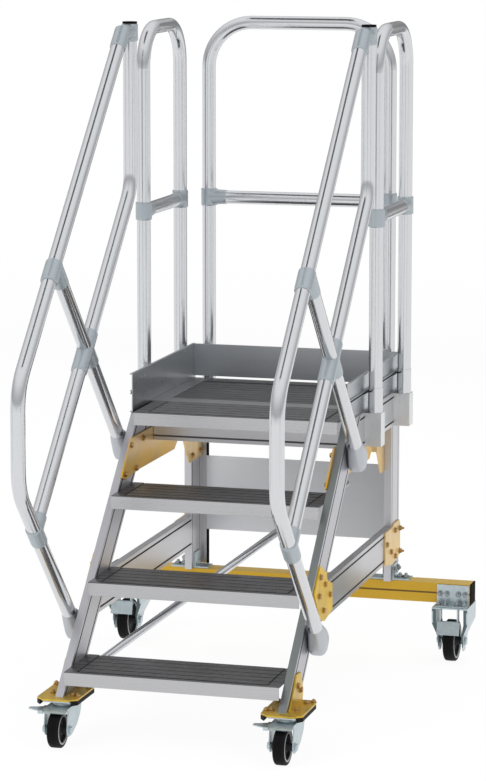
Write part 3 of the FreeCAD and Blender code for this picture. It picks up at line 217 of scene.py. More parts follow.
def add_flag(name, centre, size, turn, grey):
    """A grey glowing screen that the camera doesn't see, for the metal to reflect."""
    mesh = bpy.data.meshes.new(name)
    half_w, half_h = size[0] / 2, size[1] / 2
    outline = [(-half_w, 0, -half_h), (half_w, 0, -half_h), (half_w, 0, half_h), (-half_w, 0, half_h)]
    mesh.from_pydata(outline, [], [(0, 1, 2, 3)])
    flag = bpy.data.objects.new(name, mesh)
    bpy.context.collection.objects.link(flag)
    flag.location = centre
    flag.rotation_euler = turn
    mat = bpy.data.materials.new(name)
    mat.use_nodes = True
    tree = mat.node_tree
    tree.nodes.clear()
    out = tree.nodes.new("ShaderNodeOutputMaterial")
    glow = tree.nodes.new("ShaderNodeEmission")
    glow.inputs["Color"].default_value = (grey, grey, grey, 1)
    tree.links.new(glow.outputs[0], out.inputs[0])
    mesh.materials.append(mat)
    flag.visible_camera = False
    flag.visible_shadow = False


# ---------------------------------------------------------------- materials

def finish(name, colour, metallic, rough, spread=0.05, grain=(60, 60, 60), turn=(0, 0, 0),
           bump=0.02, shine=0.5):
    """A procedural surface: colour and roughness vary along a stretched grain, which also lifts it."""
    mat = bpy.data.materials.new(name)
    mat.use_nodes = True
    tree = mat.node_tree
    shader = tree.nodes["Principled BSDF"]
    shader.inputs["Metallic"].default_value = metallic
    shader.inputs["Specular IOR Level"].default_value = shine
    coords = tree.nodes.new("ShaderNodeTexCoord")
    mapping = tree.nodes.new("ShaderNodeMapping")
    mapping.vector_type = "POINT"
    mapping.inputs["Rotation"].default_value = turn
    scale = tree.nodes.new("ShaderNodeVectorMath")
    scale.operation = "MULTIPLY"
    scale.inputs[1].default_value = grain
    noise = tree.nodes.new("ShaderNodeTexNoise")
    noise.inputs["Scale"].default_value = 1
    noise.inputs["Detail"].default_value = 4
    noise.inputs["Roughness"].default_value = 0.6
    tree.links.new(coords.outputs["Object"], mapping.inputs["Vector"])
    tree.links.new(mapping.outputs[0], scale.inputs[0])
    tree.links.new(scale.outputs[0], noise.inputs["Vector"])
    ramp = tree.nodes.new("ShaderNodeValToRGB")
    ramp.color_ramp.elements[0].position = 0.3
    ramp.color_ramp.elements[1].position = 0.7
    ramp.color_ramp.elements[0].color = (*[c * (1 - spread) for c in colour], 1)
    ramp.color_ramp.elements[1].color = (*[min(1, c * (1 + spread)) for c in colour], 1)
    tree.links.new(noise.outputs["Fac"], ramp.inputs["Fac"])
    tree.links.new(ramp.outputs["Color"], shader.inputs["Base Color"])
    worn = ranged(tree, noise.outputs["Fac"], 0.3, 0.7, rough * 0.85, min(1, rough * 1.2))
    tree.links.new(worn, shader.inputs["Roughness"])
    lift = tree.nodes.new("ShaderNodeBump")
    lift.inputs["Strength"].default_value = bump
    lift.inputs["Distance"].default_value = 0.0002
    tree.links.new(noise.outputs["Fac"], lift.inputs["Height"])
    tree.links.new(lift.outputs["Normal"], shader.inputs["Normal"])
    return mat


def multiply_base(mat, factor):
    """Multiply the base colour of a finish by another colour output."""
    tree = mat.node_tree
    base = tree.nodes["Principled BSDF"].inputs["Base Color"]
    before = base.links[0].from_socket
    mix = tree.nodes.new("ShaderNodeMix")
    mix.data_type = "RGBA"
    mix.blend_type = "MULTIPLY"
    mix.inputs["Factor"].default_value = 1
    tree.links.new(before, mix.inputs["A"])
    tree.links.new(factor, mix.inputs["B"])
    tree.links.new(mix.outputs["Result"], base)


def grade(mat, axis, stops, faces=None):
    """Tint a finish along an axis by (place in metres, colour), on all faces or those that look one way."""
    tree = mat.node_tree
    coords = tree.nodes.new("ShaderNodeTexCoord")
    split = tree.nodes.new("ShaderNodeSeparateXYZ")
    start, end = stops[0][0], stops[-1][0]
    ramp = tree.nodes.new("ShaderNodeValToRGB")
    for place, _ in stops[1:-1]:
        ramp.color_ramp.elements.new((place - start) / (end - start))
    for element, (_, colour) in zip(ramp.color_ramp.elements, stops):
        element.color = (*colour, 1)
    tree.links.new(coords.outputs["Object"], split.inputs[0])
    tree.links.new(ranged(tree, split.outputs[axis], start, end), ramp.inputs["Fac"])
    if faces is None:
        multiply_base(mat, ramp.outputs["Color"])
        return
    facing = tree.nodes.new("ShaderNodeSeparateXYZ")
    tree.links.new(coords.outputs["Normal"], facing.inputs[0])
    mix = tree.nodes.new("ShaderNodeMix")
    mix.data_type = "RGBA"
    mix.inputs["A"].default_value = (1, 1, 1, 1)
    tree.links.new(ranged(tree, facing.outputs[faces], 0.3, 0.7), mix.inputs["Factor"])
    tree.links.new(ramp.outputs["Color"], mix.inputs["B"])
    multiply_base(mat, mix.outputs["Result"])


def paint_rib_shade(mat, top, groove, gap, border=False):
    """Paint shade on the faces that look up, the grooves between ribs and the gaps between bands of ribs.
    """
    tree = mat.node_tree
    coords = tree.nodes.new("ShaderNodeTexCoord")
    facing = tree.nodes.new("ShaderNodeSeparateXYZ")
    tree.links.new(coords.outputs["Normal"], facing.inputs[0])
    place = tree.nodes.new("ShaderNodeSeparateXYZ")
    tree.links.new(coords.outputs["Object"], place.inputs[0])
    slack = 0.0003
    level = chain(tree, place.outputs["Z"], ("ADD", slack), ("MODULO", RISER))
    bottom = RISER - RIB_HEIGHT + slack
    low = ranged(tree, level, bottom - 0.0004, bottom, 1, groove)
    back = chain(tree, place.outputs["Y"], ("ADD", -BACK), ("MODULO", RUN), ("ADD", -RIB_START))
    in_band = chain(tree, back, ("MODULO", BAND_PITCH))
    between = ranged(tree, in_band, BAND_WIDTH, BAND_WIDTH + 0.002, top, gap)
    if border:
        side = chain(tree, place.outputs["X"], ("ABSOLUTE", 0), ("GREATER_THAN", BORDER_X))
        front = chain(tree, place.outputs["Y"], ("LESS_THAN", BORDER_Y))
        plain = joined(tree, "MAXIMUM", side, front)
        between = joined(tree, "MAXIMUM", between, plain)
    up = ranged(tree, facing.outputs["Z"], 0.6, 0.9)
    mix = tree.nodes.new("ShaderNodeMix")
    mix.inputs["A"].default_value = 1
    tree.links.new(up, mix.inputs["Factor"])
    tree.links.new(between, mix.inputs["B"])
    multiply_base(mat, joined(tree, "MULTIPLY", mix.outputs["Result"], low))


# Grain of the extrusions: fine across, long along. Some finishes carry shading of the photograph.
FINE = 900
LONG = 6
# The profiles on the slope take a darker copy of the mill colour, as painted shade.
MILL, SHADED_SLOPE_MILL = (0.56, 0.56, 0.58), (0.5, 0.5, 0.53)
ZINC = (0.5, 0.58, 0.61)

profile_y = finish("profile_along_y", MILL, 0.85, 0.34, 0.05, (FINE, LONG, FINE))
profile_x = finish("profile_along_x", MILL, 0.85, 0.34, 0.05, (LONG, FINE, FINE))
profile_z = finish("profile_upright", MILL, 0.85, 0.34, 0.05, (FINE, FINE, LONG))
profile_shaded = finish("profile_shaded", MILL, 0.85, 0.34, 0.05, (FINE, LONG, FINE))
grade(profile_shaded, "Y", ((-0.2, (0.42, 0.45, 0.45)), (0.05, (0.6, 0.61, 0.6)), (0.3, (1, 1, 1))), "X")
profile_slope = finish("profile_on_slope", SHADED_SLOPE_MILL, 0.85, 0.36, 0.05, (FINE, LONG, FINE), (-PITCH, 0, 0))
slope_shaded = finish("slope_shaded", SHADED_SLOPE_MILL, 0.85, 0.36, 0.05, (FINE, LONG, FINE), (-PITCH, 0, 0))
grade(slope_shaded, "Z", ((0, (0.5, 0.54, 0.51)), (0.8, (0.56, 0.6, 0.57))), "Z")
# Painted shade: upper faces of treads and floor, their groove floors and the gaps between bands are
# darkened.
tread_metal = finish("tread_metal", (0.5, 0.5, 0.51), 0.9, 0.28, 0.07, (LONG, FINE, FINE))
paint_rib_shade(tread_metal, 0.36, 0.18, 0.1)
floor_metal = finish("floor_metal", (0.4, 0.4, 0.41), 0.9, 0.28, 0.05, (LONG, FINE, FINE))
paint_rib_shade(floor_metal, 0.24, 0.3, 0.08, True)
sheet_metal = finish("sheet_metal", (0.5, 0.52, 0.54), 0.9, 0.3, 0.012, (LONG, 12, 30), bump=0.004)
panel_metal = finish("panel_metal", (0.7, 0.71, 0.74), 0.7, 0.34, 0.02, (LONG, 40, 60))
# Painted shade: the rear panel darkens from left to right.
grade(panel_metal, "X", ((-0.28, (1, 1, 1)), (0.28, (0.72, 0.72, 0.72))))
tube_metal = finish("tube_metal", (0.66, 0.67, 0.69), 0.95, 0.15, 0.02, (200, 200, 8), bump=0.01)
cast_metal = finish("cast_metal", (0.42, 0.47, 0.5), 0.6, 0.35, 0.05, (500, 500, 500), bump=0.1)
socket_metal = finish("socket_metal", (0.5, 0.52, 0.55), 0.7, 0.38, 0.04, (500, 500, 500))
clamp_metal = finish("clamp_metal", (0.72, 0.73, 0.73), 0.6, 0.32, 0.04, (500, 500, 20))
gold_metal = finish("gold_chromate", (0.62, 0.41, 0.05), 0.6, 0.34, 0.26, (22, 22, 22))
gusset_gold = finish("gusset_gold", (0.7, 0.46, 0.12), 0.55, 0.34, 0.12, (4, 9, 24))
# Painted shading: the gussets turn deeper yellow below 0.67 m and bluer above 0.7 m.
grade(gusset_gold, "Z", ((0.67, (0.95, 0.84, 0.2)), (0.7, (1, 1, 1.5))))
bracket_gold = finish("bracket_gold", (0.74, 0.53, 0.24), 0.55, 0.36, 0.18, (20, 26, 14))
# Painted shading: the brackets in front are tinted deep yellow, those at the back keep the paler beige.
grade(bracket_gold, "Y", ((0.0, (0.95, 0.87, 0.12)), (0.3, (1, 1, 1))))
ochre_metal = finish("ochre_anodised", (0.6, 0.36, 0.025), 0.45, 0.34, 0.08, (LONG, FINE, FINE))
# Painted highlight: the traverse's faces that look up are lighter and bluer.
grade(ochre_metal, "X", ((-1, (1.5, 1.7, 5)), (1, (1.5, 1.7, 5))), "Z")
# Painted shadow: dark ochre for the strips in the traverse's grooves.
painted_ochre_shadow = finish("ochre_groove_shadow", (0.16, 0.09, 0.01), 0.2, 0.5, 0.1, (LONG, FINE, FINE))
zinc_metal = finish("blue_zinc", ZINC, 0.7, 0.32, 0.12, (45, 45, 45))
housing_metal = finish("housing_zinc", ZINC, 0.7, 0.3, 0.12, (45, 45, 45))
# Painted shade: inside the right rear housing, between x 0.42 and 0.545 m, faces that look towards +X turn
# dark teal.
grade(housing_metal, "X", ((0.42, (1, 1, 1)), (0.45, (0.12, 0.16, 0.17)), (0.535, (0.25, 0.3, 0.32)),
                           (0.545, (1, 1, 1))), "X")
# Painted shade: a dark copy of the zinc for the folded front edges of the rear housings.
shaded_edge_zinc = finish("shaded_edge_zinc", (0.1, 0.14, 0.15), 0.6, 0.4, 0.12, (60, 60, 60))
bolt_metal = finish("bolt_zinc", (0.34, 0.38, 0.4), 0.85, 0.26, 0.2, (150, 150, 150))
brown_bolt = finish("bolt_chromate", (0.48, 0.3, 0.11), 0.7, 0.3, 0.3, (150, 150, 150))
ring_metal = finish("wheel_ring", (0.42, 0.42, 0.43), 0.4, 0.4, 0.06, (300, 300, 300))
hub_plastic = finish("hub_plastic", (0.02, 0.02, 0.022), 0.0, 0.5, 0.06, (400, 400, 400), shine=0.2)
tyre_rubber = finish("tyre_rubber", (0.004, 0.004, 0.004), 0.0, 0.6, 0.2, (300, 300, 300), bump=0.2,
                     shine=0.15)
# Real rubber, and also the painted shadow strips in the profile grooves and between the toe board lips.
black_rubber = finish("black_rubber", (0.006, 0.006, 0.006), 0.0, 0.6, 0.2, (500, 500, 500),
                      bump=0.2, shine=0.15)
# Painted shadow: grey for the strip in the front beam's groove.
groove_shadow_grey = finish("groove_shadow_grey", (0.1, 0.1, 0.11), 0.3, 0.45, 0.1, (LONG, 300, 300))
black_plastic = finish("black_plastic", (0.004, 0.004, 0.004), 0.0, 0.7, 0.1, (500, 500, 500),
                       shine=0.05)

LOOKS = {
    "stringer_left": profile_slope, "stringer_right": slope_shaded,
    "side_rail_left": profile_y, "side_rail_right": profile_y,
    "lower_rail_left": profile_y, "lower_rail_right": profile_shaded,
    "rear_post_left": profile_z, "rear_post_right": profile_z,
    "front_beam": profile_x, "rear_beam": profile_x, "rear_upright_strips": profile_z,
    "rear_panel": panel_metal, "stair_gussets": gusset_gold, "frame_brackets": bracket_gold,
    "hoop_leg_clamps": clamp_metal, "rear_caster_housings": housing_metal, "deck_floor": floor_metal,
}
SLOT_LOOKS = {
    "tread_aluminium": tread_metal, "sheet_aluminium": sheet_metal, "tube_aluminium": tube_metal,
    "cast_fitting": cast_metal, "socket_alloy": socket_metal, "gold_zinc": gold_metal,
    "ochre_paint": ochre_metal, "bright_zinc": zinc_metal, "wheel_hub": hub_plastic,
    "tyre_rubber": tyre_rubber, "black_rubber": black_rubber, "black_plastic": black_plastic,
}


def dress_frame():
    """Give every CAD node its finish."""
    slots = {part["node"]: part["material_slot"] for part in frame["record"]["subparts"]}
    for node, obj in NODES.items():
        look = LOOKS.get(node) or SLOT_LOOKS[slots[node]]
        for slot in obj.material_slots:
            slot.material = look


# ---------------------------------------------------------------- mesh helpers

def new_piece(name, bm, looks, body, stands_for=()):
    """Turn a finished bmesh into a piece that rides on a CAD body."""
    bmesh.ops.recalc_face_normals(bm, faces=bm.faces)
    mesh = bpy.data.meshes.new(name)
    bm.to_mesh(mesh)
    bm.free()
    for look in looks:
        mesh.materials.append(look)
    mesh.shade_smooth()
    mesh.set_sharp_from_angle(angle=math.radians(32))
    obj = bpy.data.objects.new(name, mesh)
    bpy.context.collection.objects.link(obj)
    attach(obj, body)
    if stands_for:
        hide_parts(*stands_for)
    return obj


def soften(obj):
    """Round the hard edges a little, so that they catch the light."""
    weld = obj.modifiers.new("weld", "WELD")
    weld.merge_threshold = 0.00001
    bevel = obj.modifiers.new("edge", "BEVEL")
    bevel.width = 0.0007
    bevel.segments = 2
    bevel.limit_method = "ANGLE"
    bevel.angle_limit = math.radians(30)
    bevel.harden_normals = True


def axes_along(way):
    """A matrix whose Z runs along the given direction."""
    return Vector(way).normalized().to_track_quat("Z", "Y").to_matrix().to_4x4()


def lathe(bm, profile, centre, way, segments=48, look=0):
    """Turn (radius, distance) points about the line through centre along way."""
    turn = Matrix.Translation(Vector(centre)) @ axes_along(way)
    rings = []
    for radius, distance in profile:
        if radius < 1e-6:
            rings.append([bm.verts.new(turn @ Vector((0, 0, distance)))])
            continue
        ring = []
        for step in range(segments):
            angle = 2 * PI * step / segments
            spot = Vector((radius * math.cos(angle), radius * math.sin(angle), distance))
            ring.append(bm.verts.new(turn @ spot))
        rings.append(ring)
    for one, two in zip(rings, rings[1:]):
        for step in range(segments):
            after = (step + 1) % segments
            if len(one) == 1 and len(two) == 1:
                break
            if len(one) == 1:
                face = bm.faces.new((one[0], two[after], two[step]))
            elif len(two) == 1:
                face = bm.faces.new((one[step], one[after], two[0]))
            else:
                face = bm.faces.new((one[step], one[after], two[after], two[step]))
            face.material_index = look


def islands(mesh_object):
    """The separate closed shapes of a CAD node, as lists of corner places."""
    bm = bmesh.new()
    bm.from_mesh(mesh_object.data)
    bmesh.ops.remove_doubles(bm, verts=bm.verts, dist=1e-5)
    left = set(bm.verts)
    found = []
    while left:
        stack = [left.pop()]
        shape = []
        while stack:
            vert = stack.pop()
            shape.append(mesh_object.matrix_world @ vert.co)
            for edge in vert.link_edges:
                other = edge.other_vert(vert)
                if other in left:
                    left.remove(other)
                    stack.append(other)
        found.append(shape)
    bm.free()
    return found


def corners(points):
    """Lowest and highest corner of a list of points."""
    low = Vector([min(p[i] for p in points) for i in range(3)])
    high = Vector([max(p[i] for p in points) for i in range(3)])
    return low, high


def cast_form(name, solids, stands_for):
    """Melt overlapping solids of the frame into one cast piece with fillets where they meet."""
    bm = bmesh.new()
    for profile, centre, way in solids:
        lathe(bm, profile, centre, way, 40)
    obj = new_piece(name, bm, [cast_metal], "frame", [stands_for])
    melt = obj.modifiers.new("melt", "REMESH")
    melt.mode = "VOXEL"
    melt.voxel_size = 0.002
    melt.use_smooth_shade = True
    even = obj.modifiers.new("even", "SMOOTH")
    even.iterations = 5
    even.factor = 0.6


def sleeve(radius, length, lip=0.0012):
    """A short closed round sleeve with rolled ends, as a profile from 0 to its length."""
    return [(0, 0), (radius - lip, 0), (radius, lip), (radius, length - lip),
            (radius - lip, length), (0, length)]


def bead(bm, start, end, face, width, height, look=0):
    """A slim strip with a rounded back between two points, standing on a face."""
    start, end, out = Vector(start), Vector(end), Vector(face).normalized()
    across = (end - start).normalized().cross(out)
    section = ((-0.5, 0), (-0.5, 0.6), (-0.3, 1), (0.3, 1), (0.5, 0.6), (0.5, 0))
    rows = []
    for place in (start, end):
        rows.append([bm.verts.new(place + across * (a * width) + out * (h * height))
                     for a, h in section])
    count = len(section)
    made = []
    for number in range(count):
        after = (number + 1) % count
        made.append(bm.faces.new((rows[0][number], rows[0][after], rows[1][after], rows[1][number])))
    made.append(bm.faces.new(rows[0]))
    made.append(bm.faces.new(list(reversed(rows[1]))))
    for one in made:
        one.material_index = look


def loft(bm, sections):
    """A closed skin over rings of points, flat at both ends."""
    rings = [[bm.verts.new(point) for point in section] for section in sections]
    count = len(rings[0])
    for one, two in zip(rings, rings[1:]):
        for step in range(count):
            after = (step + 1) % count
            bm.faces.new((one[step], one[after], two[after], two[step]))
    bm.faces.new(rings[0])
    bm.faces.new(list(reversed(rings[-1])))


def rounded(centre, one, two, half_one, half_two, power=2.0, count=40):
    """A ring of points: an ellipse at power 2, squarer above it."""
    ring = []
    for step in range(count):
        angle = 2 * PI * step / count
        c, s = math.cos(angle), math.sin(angle)
        a = math.copysign(abs(c) ** (2 / power), c) * half_one
        b = math.copysign(abs(s) ** (2 / power), s) * half_two
        ring.append(centre + one * a + two * b)
    return ring


# ---------------------------------------------------------------- cast fittings

# How far the castings run from where two tubes cross.
CAST_ABOVE = 0.012
TEE_BELOW, TEE_SIDE = 0.056, 0.048
CROSS_UP, CROSS_DOWN, CROSS_BELOW = 0.056, 0.084, 0.066
SADDLE_UP, SADDLE_DOWN, SADDLE_BRANCH = 0.004, 0.064, 0.080


def add_rail_castings():
    """T, cross, saddle and top cap of both handrails, cast round their tubes."""
    solids = []
    for sign in (-1, 1):
        x = sign * RAIL_X

        def arm(t, n, length, way, radius=FITTING, base=None):
            solids.append((sleeve(radius, length), base or on_pitch(x, t, n), way))

        arm(RETURN_T, KNEE_N - CAST_ABOVE, CAST_ABOVE + TEE_BELOW, BEHIND)
        arm(RETURN_T, KNEE_N, TEE_SIDE, ALONG)
        arm(STRUT_T - CROSS_DOWN, KNEE_N, CROSS_DOWN + CROSS_UP, ALONG)
        arm(STRUT_T, KNEE_N - CAST_ABOVE, CAST_ABOVE + CROSS_BELOW, BEHIND)
        arm(STRUT_T - SADDLE_DOWN, HAND_N, SADDLE_DOWN + SADDLE_UP, ALONG, FITTING + 0.001)
        arm(STRUT_T - 0.004, HAND_N, SADDLE_BRANCH, BEHIND)
        arm(0, 0, 0.050, -UP, FITTING, Vector((x, POST_Y + BACK, POST_TOP)))
        y = RAIL_END_Y + 0.008
        end = Vector((x, y + BACK, RISER + (y * RISER - HAND_N * SLOPE) / RUN))
        arm(0, 0, 0.070, -ALONG, FITTING, end)
        arm(0, 0, 0.072, Vector((0, 1, 0)), FITTING - 0.002, Vector((x, RAIL_END_Y + BACK, 1.886)))
    cast_form("rail_castings", solids, "handrail_fittings")


def add_mid_castings():
    """Ts on the hoop legs that take the mid rails."""
    solids = []
    height, half = 1.361, 0.0265
    legs = []
    for sign in (-1, 1):
        legs.append((Vector((sign * HOOP_X, HOOP_FRONT + BACK, height)), Vector((0, 1, 0))))
        legs.append((Vector((sign * HOOP_X, HOOP_BACK + BACK, height)), Vector((0, -1, 0))))
        legs.append((Vector((sign * REAR_HOOP_X, REAR_HOOP_Y + BACK, height)), Vector((-sign, 0, 0))))
    neck = [(0, 0), (FITTING, 0), (FITTING, 0.024), (FITTING - 0.0012, 0.040), (FITTING - 0.0018, 0.0565),
            (FITTING - 0.003, 0.058), (0, 0.058)]
    for centre, way in legs:
        solids.append((sleeve(FITTING + 0.0005, 2 * half), centre - UP * half, UP))
        solids.append((neck, centre, way))
    cast_form("mid_castings", solids, "mid_rail_fittings")


def add_sockets():
    """Flared sockets that carry the struts on the outer faces of the stringers."""
    bm = bmesh.new()
    # (n, distance across, half width, half height, squareness)
    rings = ((0.0380, 0.350, 0.0185, 0.0185, 2), (0.0470, 0.350, 0.0192, 0.0192, 2),
             (0.0520, 0.350, 0.0212, 0.0216, 2.1), (0.0640, 0.3495, 0.0228, 0.0255, 2.3),
             (0.0820, 0.3485, 0.0240, 0.0310, 2.8), (0.1020, 0.3475, 0.0248, 0.0370, 3.2),
             (0.1180, 0.347, 0.0250, 0.0390, 3.4), (0.1280, 0.347, 0.0248, 0.0370, 3.4),
             (0.1340, 0.347, 0.0236, 0.0310, 3.2), (0.1370, 0.347, 0.0210, 0.0230, 3))
    for sign in (-1, 1):
        for t in (RETURN_T, STRUT_T):
            loft(bm, [rounded(on_pitch(sign * x, t, n), ACROSS, ALONG, wide, high, power)
                      for n, x, wide, high, power in rings])
    new_piece("stringer_socket_cones", bm, [socket_metal], "frame",
              ["stringer_sockets"])


# ---------------------------------------------------------------- brace

def add_brace():
    """The diagonal tube behind the treads, with its pressed ends, spacers and bolts."""
    bm = bmesh.new()
    reach, climb, t, n, radius = 0.306, 1.1, 0.461, 0.188, 0.011
    middle = on_pitch(0, t, n)
    top = on_pitch(reach, t + reach * climb, n)
    way = (top - middle).normalized()
    side = way.cross(BEHIND)
    length = (top - middle).length
    # (distance from the middle, half width, half thickness, squareness)
    stations = [(length + 0.0055, 0.0085, 0.0022, 3), (length + 0.002, 0.0125, 0.0026, 4),
                (length - 0.030, 0.0135, 0.0026, 4), (length - 0.042, 0.0132, 0.0038, 3),
                (length - 0.056, 0.012, 0.0080, 2.2), (length - 0.066, radius, radius, 2)]
    places = [(-d, w, h, p) for d, w, h, p in stations]
    places += [(d, w, h, p) for d, w, h, p in reversed(stations)]
    loft(bm, [rounded(middle + way * d, side, BEHIND, w, h, p, 32) for d, w, h, p in places])
    for sign in (-1, 1):
        end = middle + way * (sign * length)
        lathe(bm, sleeve(0.0046, 0.044, 0.001), end - BEHIND * 0.0465, BEHIND, 32)
        lathe(bm, [(0, 0), (0.0085, 0), (0.009, 0.001), (0.009, 0.0014), (0.0072, 0.0016), (0, 0.0016)],
              end + BEHIND * 0.0026, BEHIND, 32, 1)
        lathe(bm, [(0.0072, 0), (0.0072, 0.0042), (0.0064, 0.0052), (0, 0.0052)],
              end + BEHIND * 0.0042, BEHIND, 6, 1)
    new_piece("pressed_brace", bm, [tube_metal, bolt_metal], "frame",
              ["diagonal_brace"])


# ---------------------------------------------------------------- bolts and nuts

def hex_bolt(bm, seat, way, flats, height, look=0, shank=0.0):
    """A chamfered hexagon on its washer, standing on a face, with the bolt's end beyond it."""
    seat, way = Vector(seat), Vector(way)
    radius = flats / math.sqrt(3)
    thick = 0.0014
    rim = radius * 1.28
    lathe(bm, [(0, 0), (rim, 0), (rim, 0.0010), (rim - 0.0005, thick), (0, thick)], seat, way, 28, look)
    top = thick + height
    lathe(bm, [(radius * 0.9, thick), (radius, thick + 0.0004), (radius, top - 0.0012),
               (radius * 0.86, top), (radius * 0.5, top), (0, top)], seat, way, 6, look)
    if shank:
        lathe(bm, [(radius * 0.48, top - 0.001), (radius * 0.48, top + shank - 0.0008),
                   (radius * 0.38, top + shank), (0, top + shank)], seat, way, 20, look)


# Bolts differ by place: between these heights they hold the post-foot angles; behind these places in
# Y they hold the corner brackets, stand on the traverse, or belong to the rear casters.
ANGLE_LOW, ANGLE_HIGH = 0.24, 0.28
CORNER_Y, TRAVERSE_Y, FOOT_BOLTS_Y = 0.72, 0.66, 0.6


def add_bolts():
    """A modelled bolt in place of each plain head, brown on the gold brackets and foot plates."""
    bm = bmesh.new()
    for shape in islands(NODES["hex_bolts"]):
        low, high = corners(shape)
        middle = (low + high) / 2
        extent = high - low
        axis = min(range(3), key=lambda i: extent[i])
        way = Vector((0, 0, 0))
        look = 0
        flats = 0.013
        shank = 0.0
        if axis == 0:
            outside = abs(middle.x) > FACE_OUT
            way.x = math.copysign(1, middle.x) * (1 if outside else -1)
            look = 1 if middle.z > ANGLE_HIGH or middle.y < 0 else 0
            if outside and ANGLE_LOW < middle.z < ANGLE_HIGH:
                flats, shank = 0.017, 0.004
            if outside and middle.y > CORNER_Y and middle.z > ANGLE_HIGH:
                shank = 0.007
        elif axis == 1:
            way.y = -1
            flats, shank = 0.0125, 0.008
        else:
            way.z = 1
            flats = 0.017 if middle.y > TRAVERSE_Y else 0.012
            look = 1 if middle.y < 0 else 0
            shank = 0.003 if middle.y < FOOT_BOLTS_Y else 0.006
        seat = middle - way * (extent[axis] / 2)
        hex_bolt(bm, seat, way, flats, 0.0056, look, shank)
    new_piece("bolts_and_nuts", bm, [bolt_metal, brown_bolt], "frame", ["hex_bolts"])


# ---------------------------------------------------------------- wheels

def tyre_profile(radius, half, seat):
    """A tyre's outline: rounded shoulders and fine grooves round the tread."""
    shoulder = 0.0062
    left = [(seat, -half + 0.0016), (seat + 0.0012, -half + 0.0004), (radius - shoulder - 0.001, -half)]
    for step in range(1, 6):
        angle = PI / 2 * step / 6
        left.append((radius - shoulder + shoulder * math.sin(angle),
                     -half + shoulder - shoulder * math.cos(angle)))
    crown = []
    flat = half - shoulder
    grooves = 5
    for number in range(grooves):
        place = -flat + 2 * flat * (number + 0.5) / grooves
        bow = 0.0004 * (1 - (place / flat) ** 2)
        for offset, depth in ((-0.0012, 0), (-0.0006, 0.0009), (0.0006, 0.0009), (0.0012, 0)):
            crown.append((radius - 0.0004 + bow - depth, place + offset))
    right = [(r, -d) for r, d in reversed(left)]
    return left + crown + right + [left[0]]


def add_wheel(start, end, centre, radius, half, seat, bore):
    """Tyre, light ring, dark web and hub of one wheel, such as the front left one."""
    body = "%s_wheel_%s" % (start, end)
    bm = bmesh.new()
    lathe(bm, tyre_profile(radius, half, seat), centre, ACROSS, 72)
    new_piece(start + "_tyre_form_" + end, bm, [tyre_rubber], body,
              ["%s_tyre_%s" % (start, end)])
    bm = bmesh.new()
    for way in (ACROSS, -ACROSS):
        lathe(bm, [(seat + 0.0002, half - 0.004), (seat - 0.0004, half - 0.0006), (seat - 0.0014, half),
                   (seat - 0.0040, half), (seat - 0.0050, half - 0.0008), (seat - 0.0058, half - 0.004)],
              centre, way, 72, 0)
        lathe(bm, [(seat - 0.0056, half - 0.003), (seat - 0.0075, 0.0075), (seat - 0.0110, 0.0060),
                   (bore + 0.0125, 0.0060), (bore + 0.0100, 0.0085), (bore + 0.0060, half - 0.002),
                   (bore + 0.0056, 0.0284), (bore + 0.0050, 0.0287), (bore, 0.0287)],
              centre, way, 72, 1)
    new_piece(start + "_rim_form_" + end, bm, [ring_metal, hub_plastic], body,
              ["%s_rim_%s" % (start, end)])


def add_wheels():
    """Four wheels with the nuts of their axles."""
    for sign, end in ((-1, "left"), (1, "right")):
        front = Vector((sign * FRONT_X + FRONT_SHIFT, FRONT_AXLE_Y, FRONT_WHEEL[0]))
        rear = Vector((sign * REAR_X, REAR_AXLE_Y, REAR_WHEEL[0]))
        add_wheel("front", end, front, *FRONT_WHEEL)
        add_wheel("rear", end, rear, *REAR_WHEEL)
        nuts = (("front", front, 0.034, 0.0186, "front_swivel_" + end),
                ("rear", rear, 0.0385, 0.0206, "frame"))
        for start, centre, reach, flats, body in nuts:
            bm = bmesh.new()
            for way in (ACROSS, -ACROSS):
                hex_bolt(bm, centre + way * reach, way, flats, 0.0055)
            new_piece("%s_axle_nuts_%s" % (start, end), bm, [zinc_metal], body)


def add_housing_flanges():
    """The folded front edges of both rear housings, narrowing towards the axle, darkened as painted shade.
    """
    bm = bmesh.new()
    # (height, half width of the housing, front edge, width of the flange)
    stations = ((0.1635, 0.0538, 1.172, 0.012), (0.118, 0.0538, 1.1757, 0.012),
                (0.098, 0.0460, 1.1807, 0.009), (0.078, 0.0383, 1.1856, 0.005),
                (0.046, 0.0383, 1.1927, 0.003))
    for centre in (-REAR_X, REAR_X):
        for side in (-1, 1):
            rings = []
            for z, half, y, width in stations:
                near, far = y + BACK - 0.0006, y + BACK + 0.0024
                outer, inner = centre + side * half, centre + side * (half - width)
                rings.append([Vector((outer, near, z)), Vector((inner, near, z)),
                              Vector((inner, far, z)), Vector((outer, far, z))])
            loft(bm, rings)
    new_piece("rear_housing_flanges", bm, [shaded_edge_zinc], "frame")


# ---------------------------------------------------------------- painted shadow strips in the grooves of the extrusions

# Width of a groove, its middle's distance from the profile's edge, and its depth.
GROOVE, GROOVE_IN, DEEP = 0.005, 0.0135, 0.002


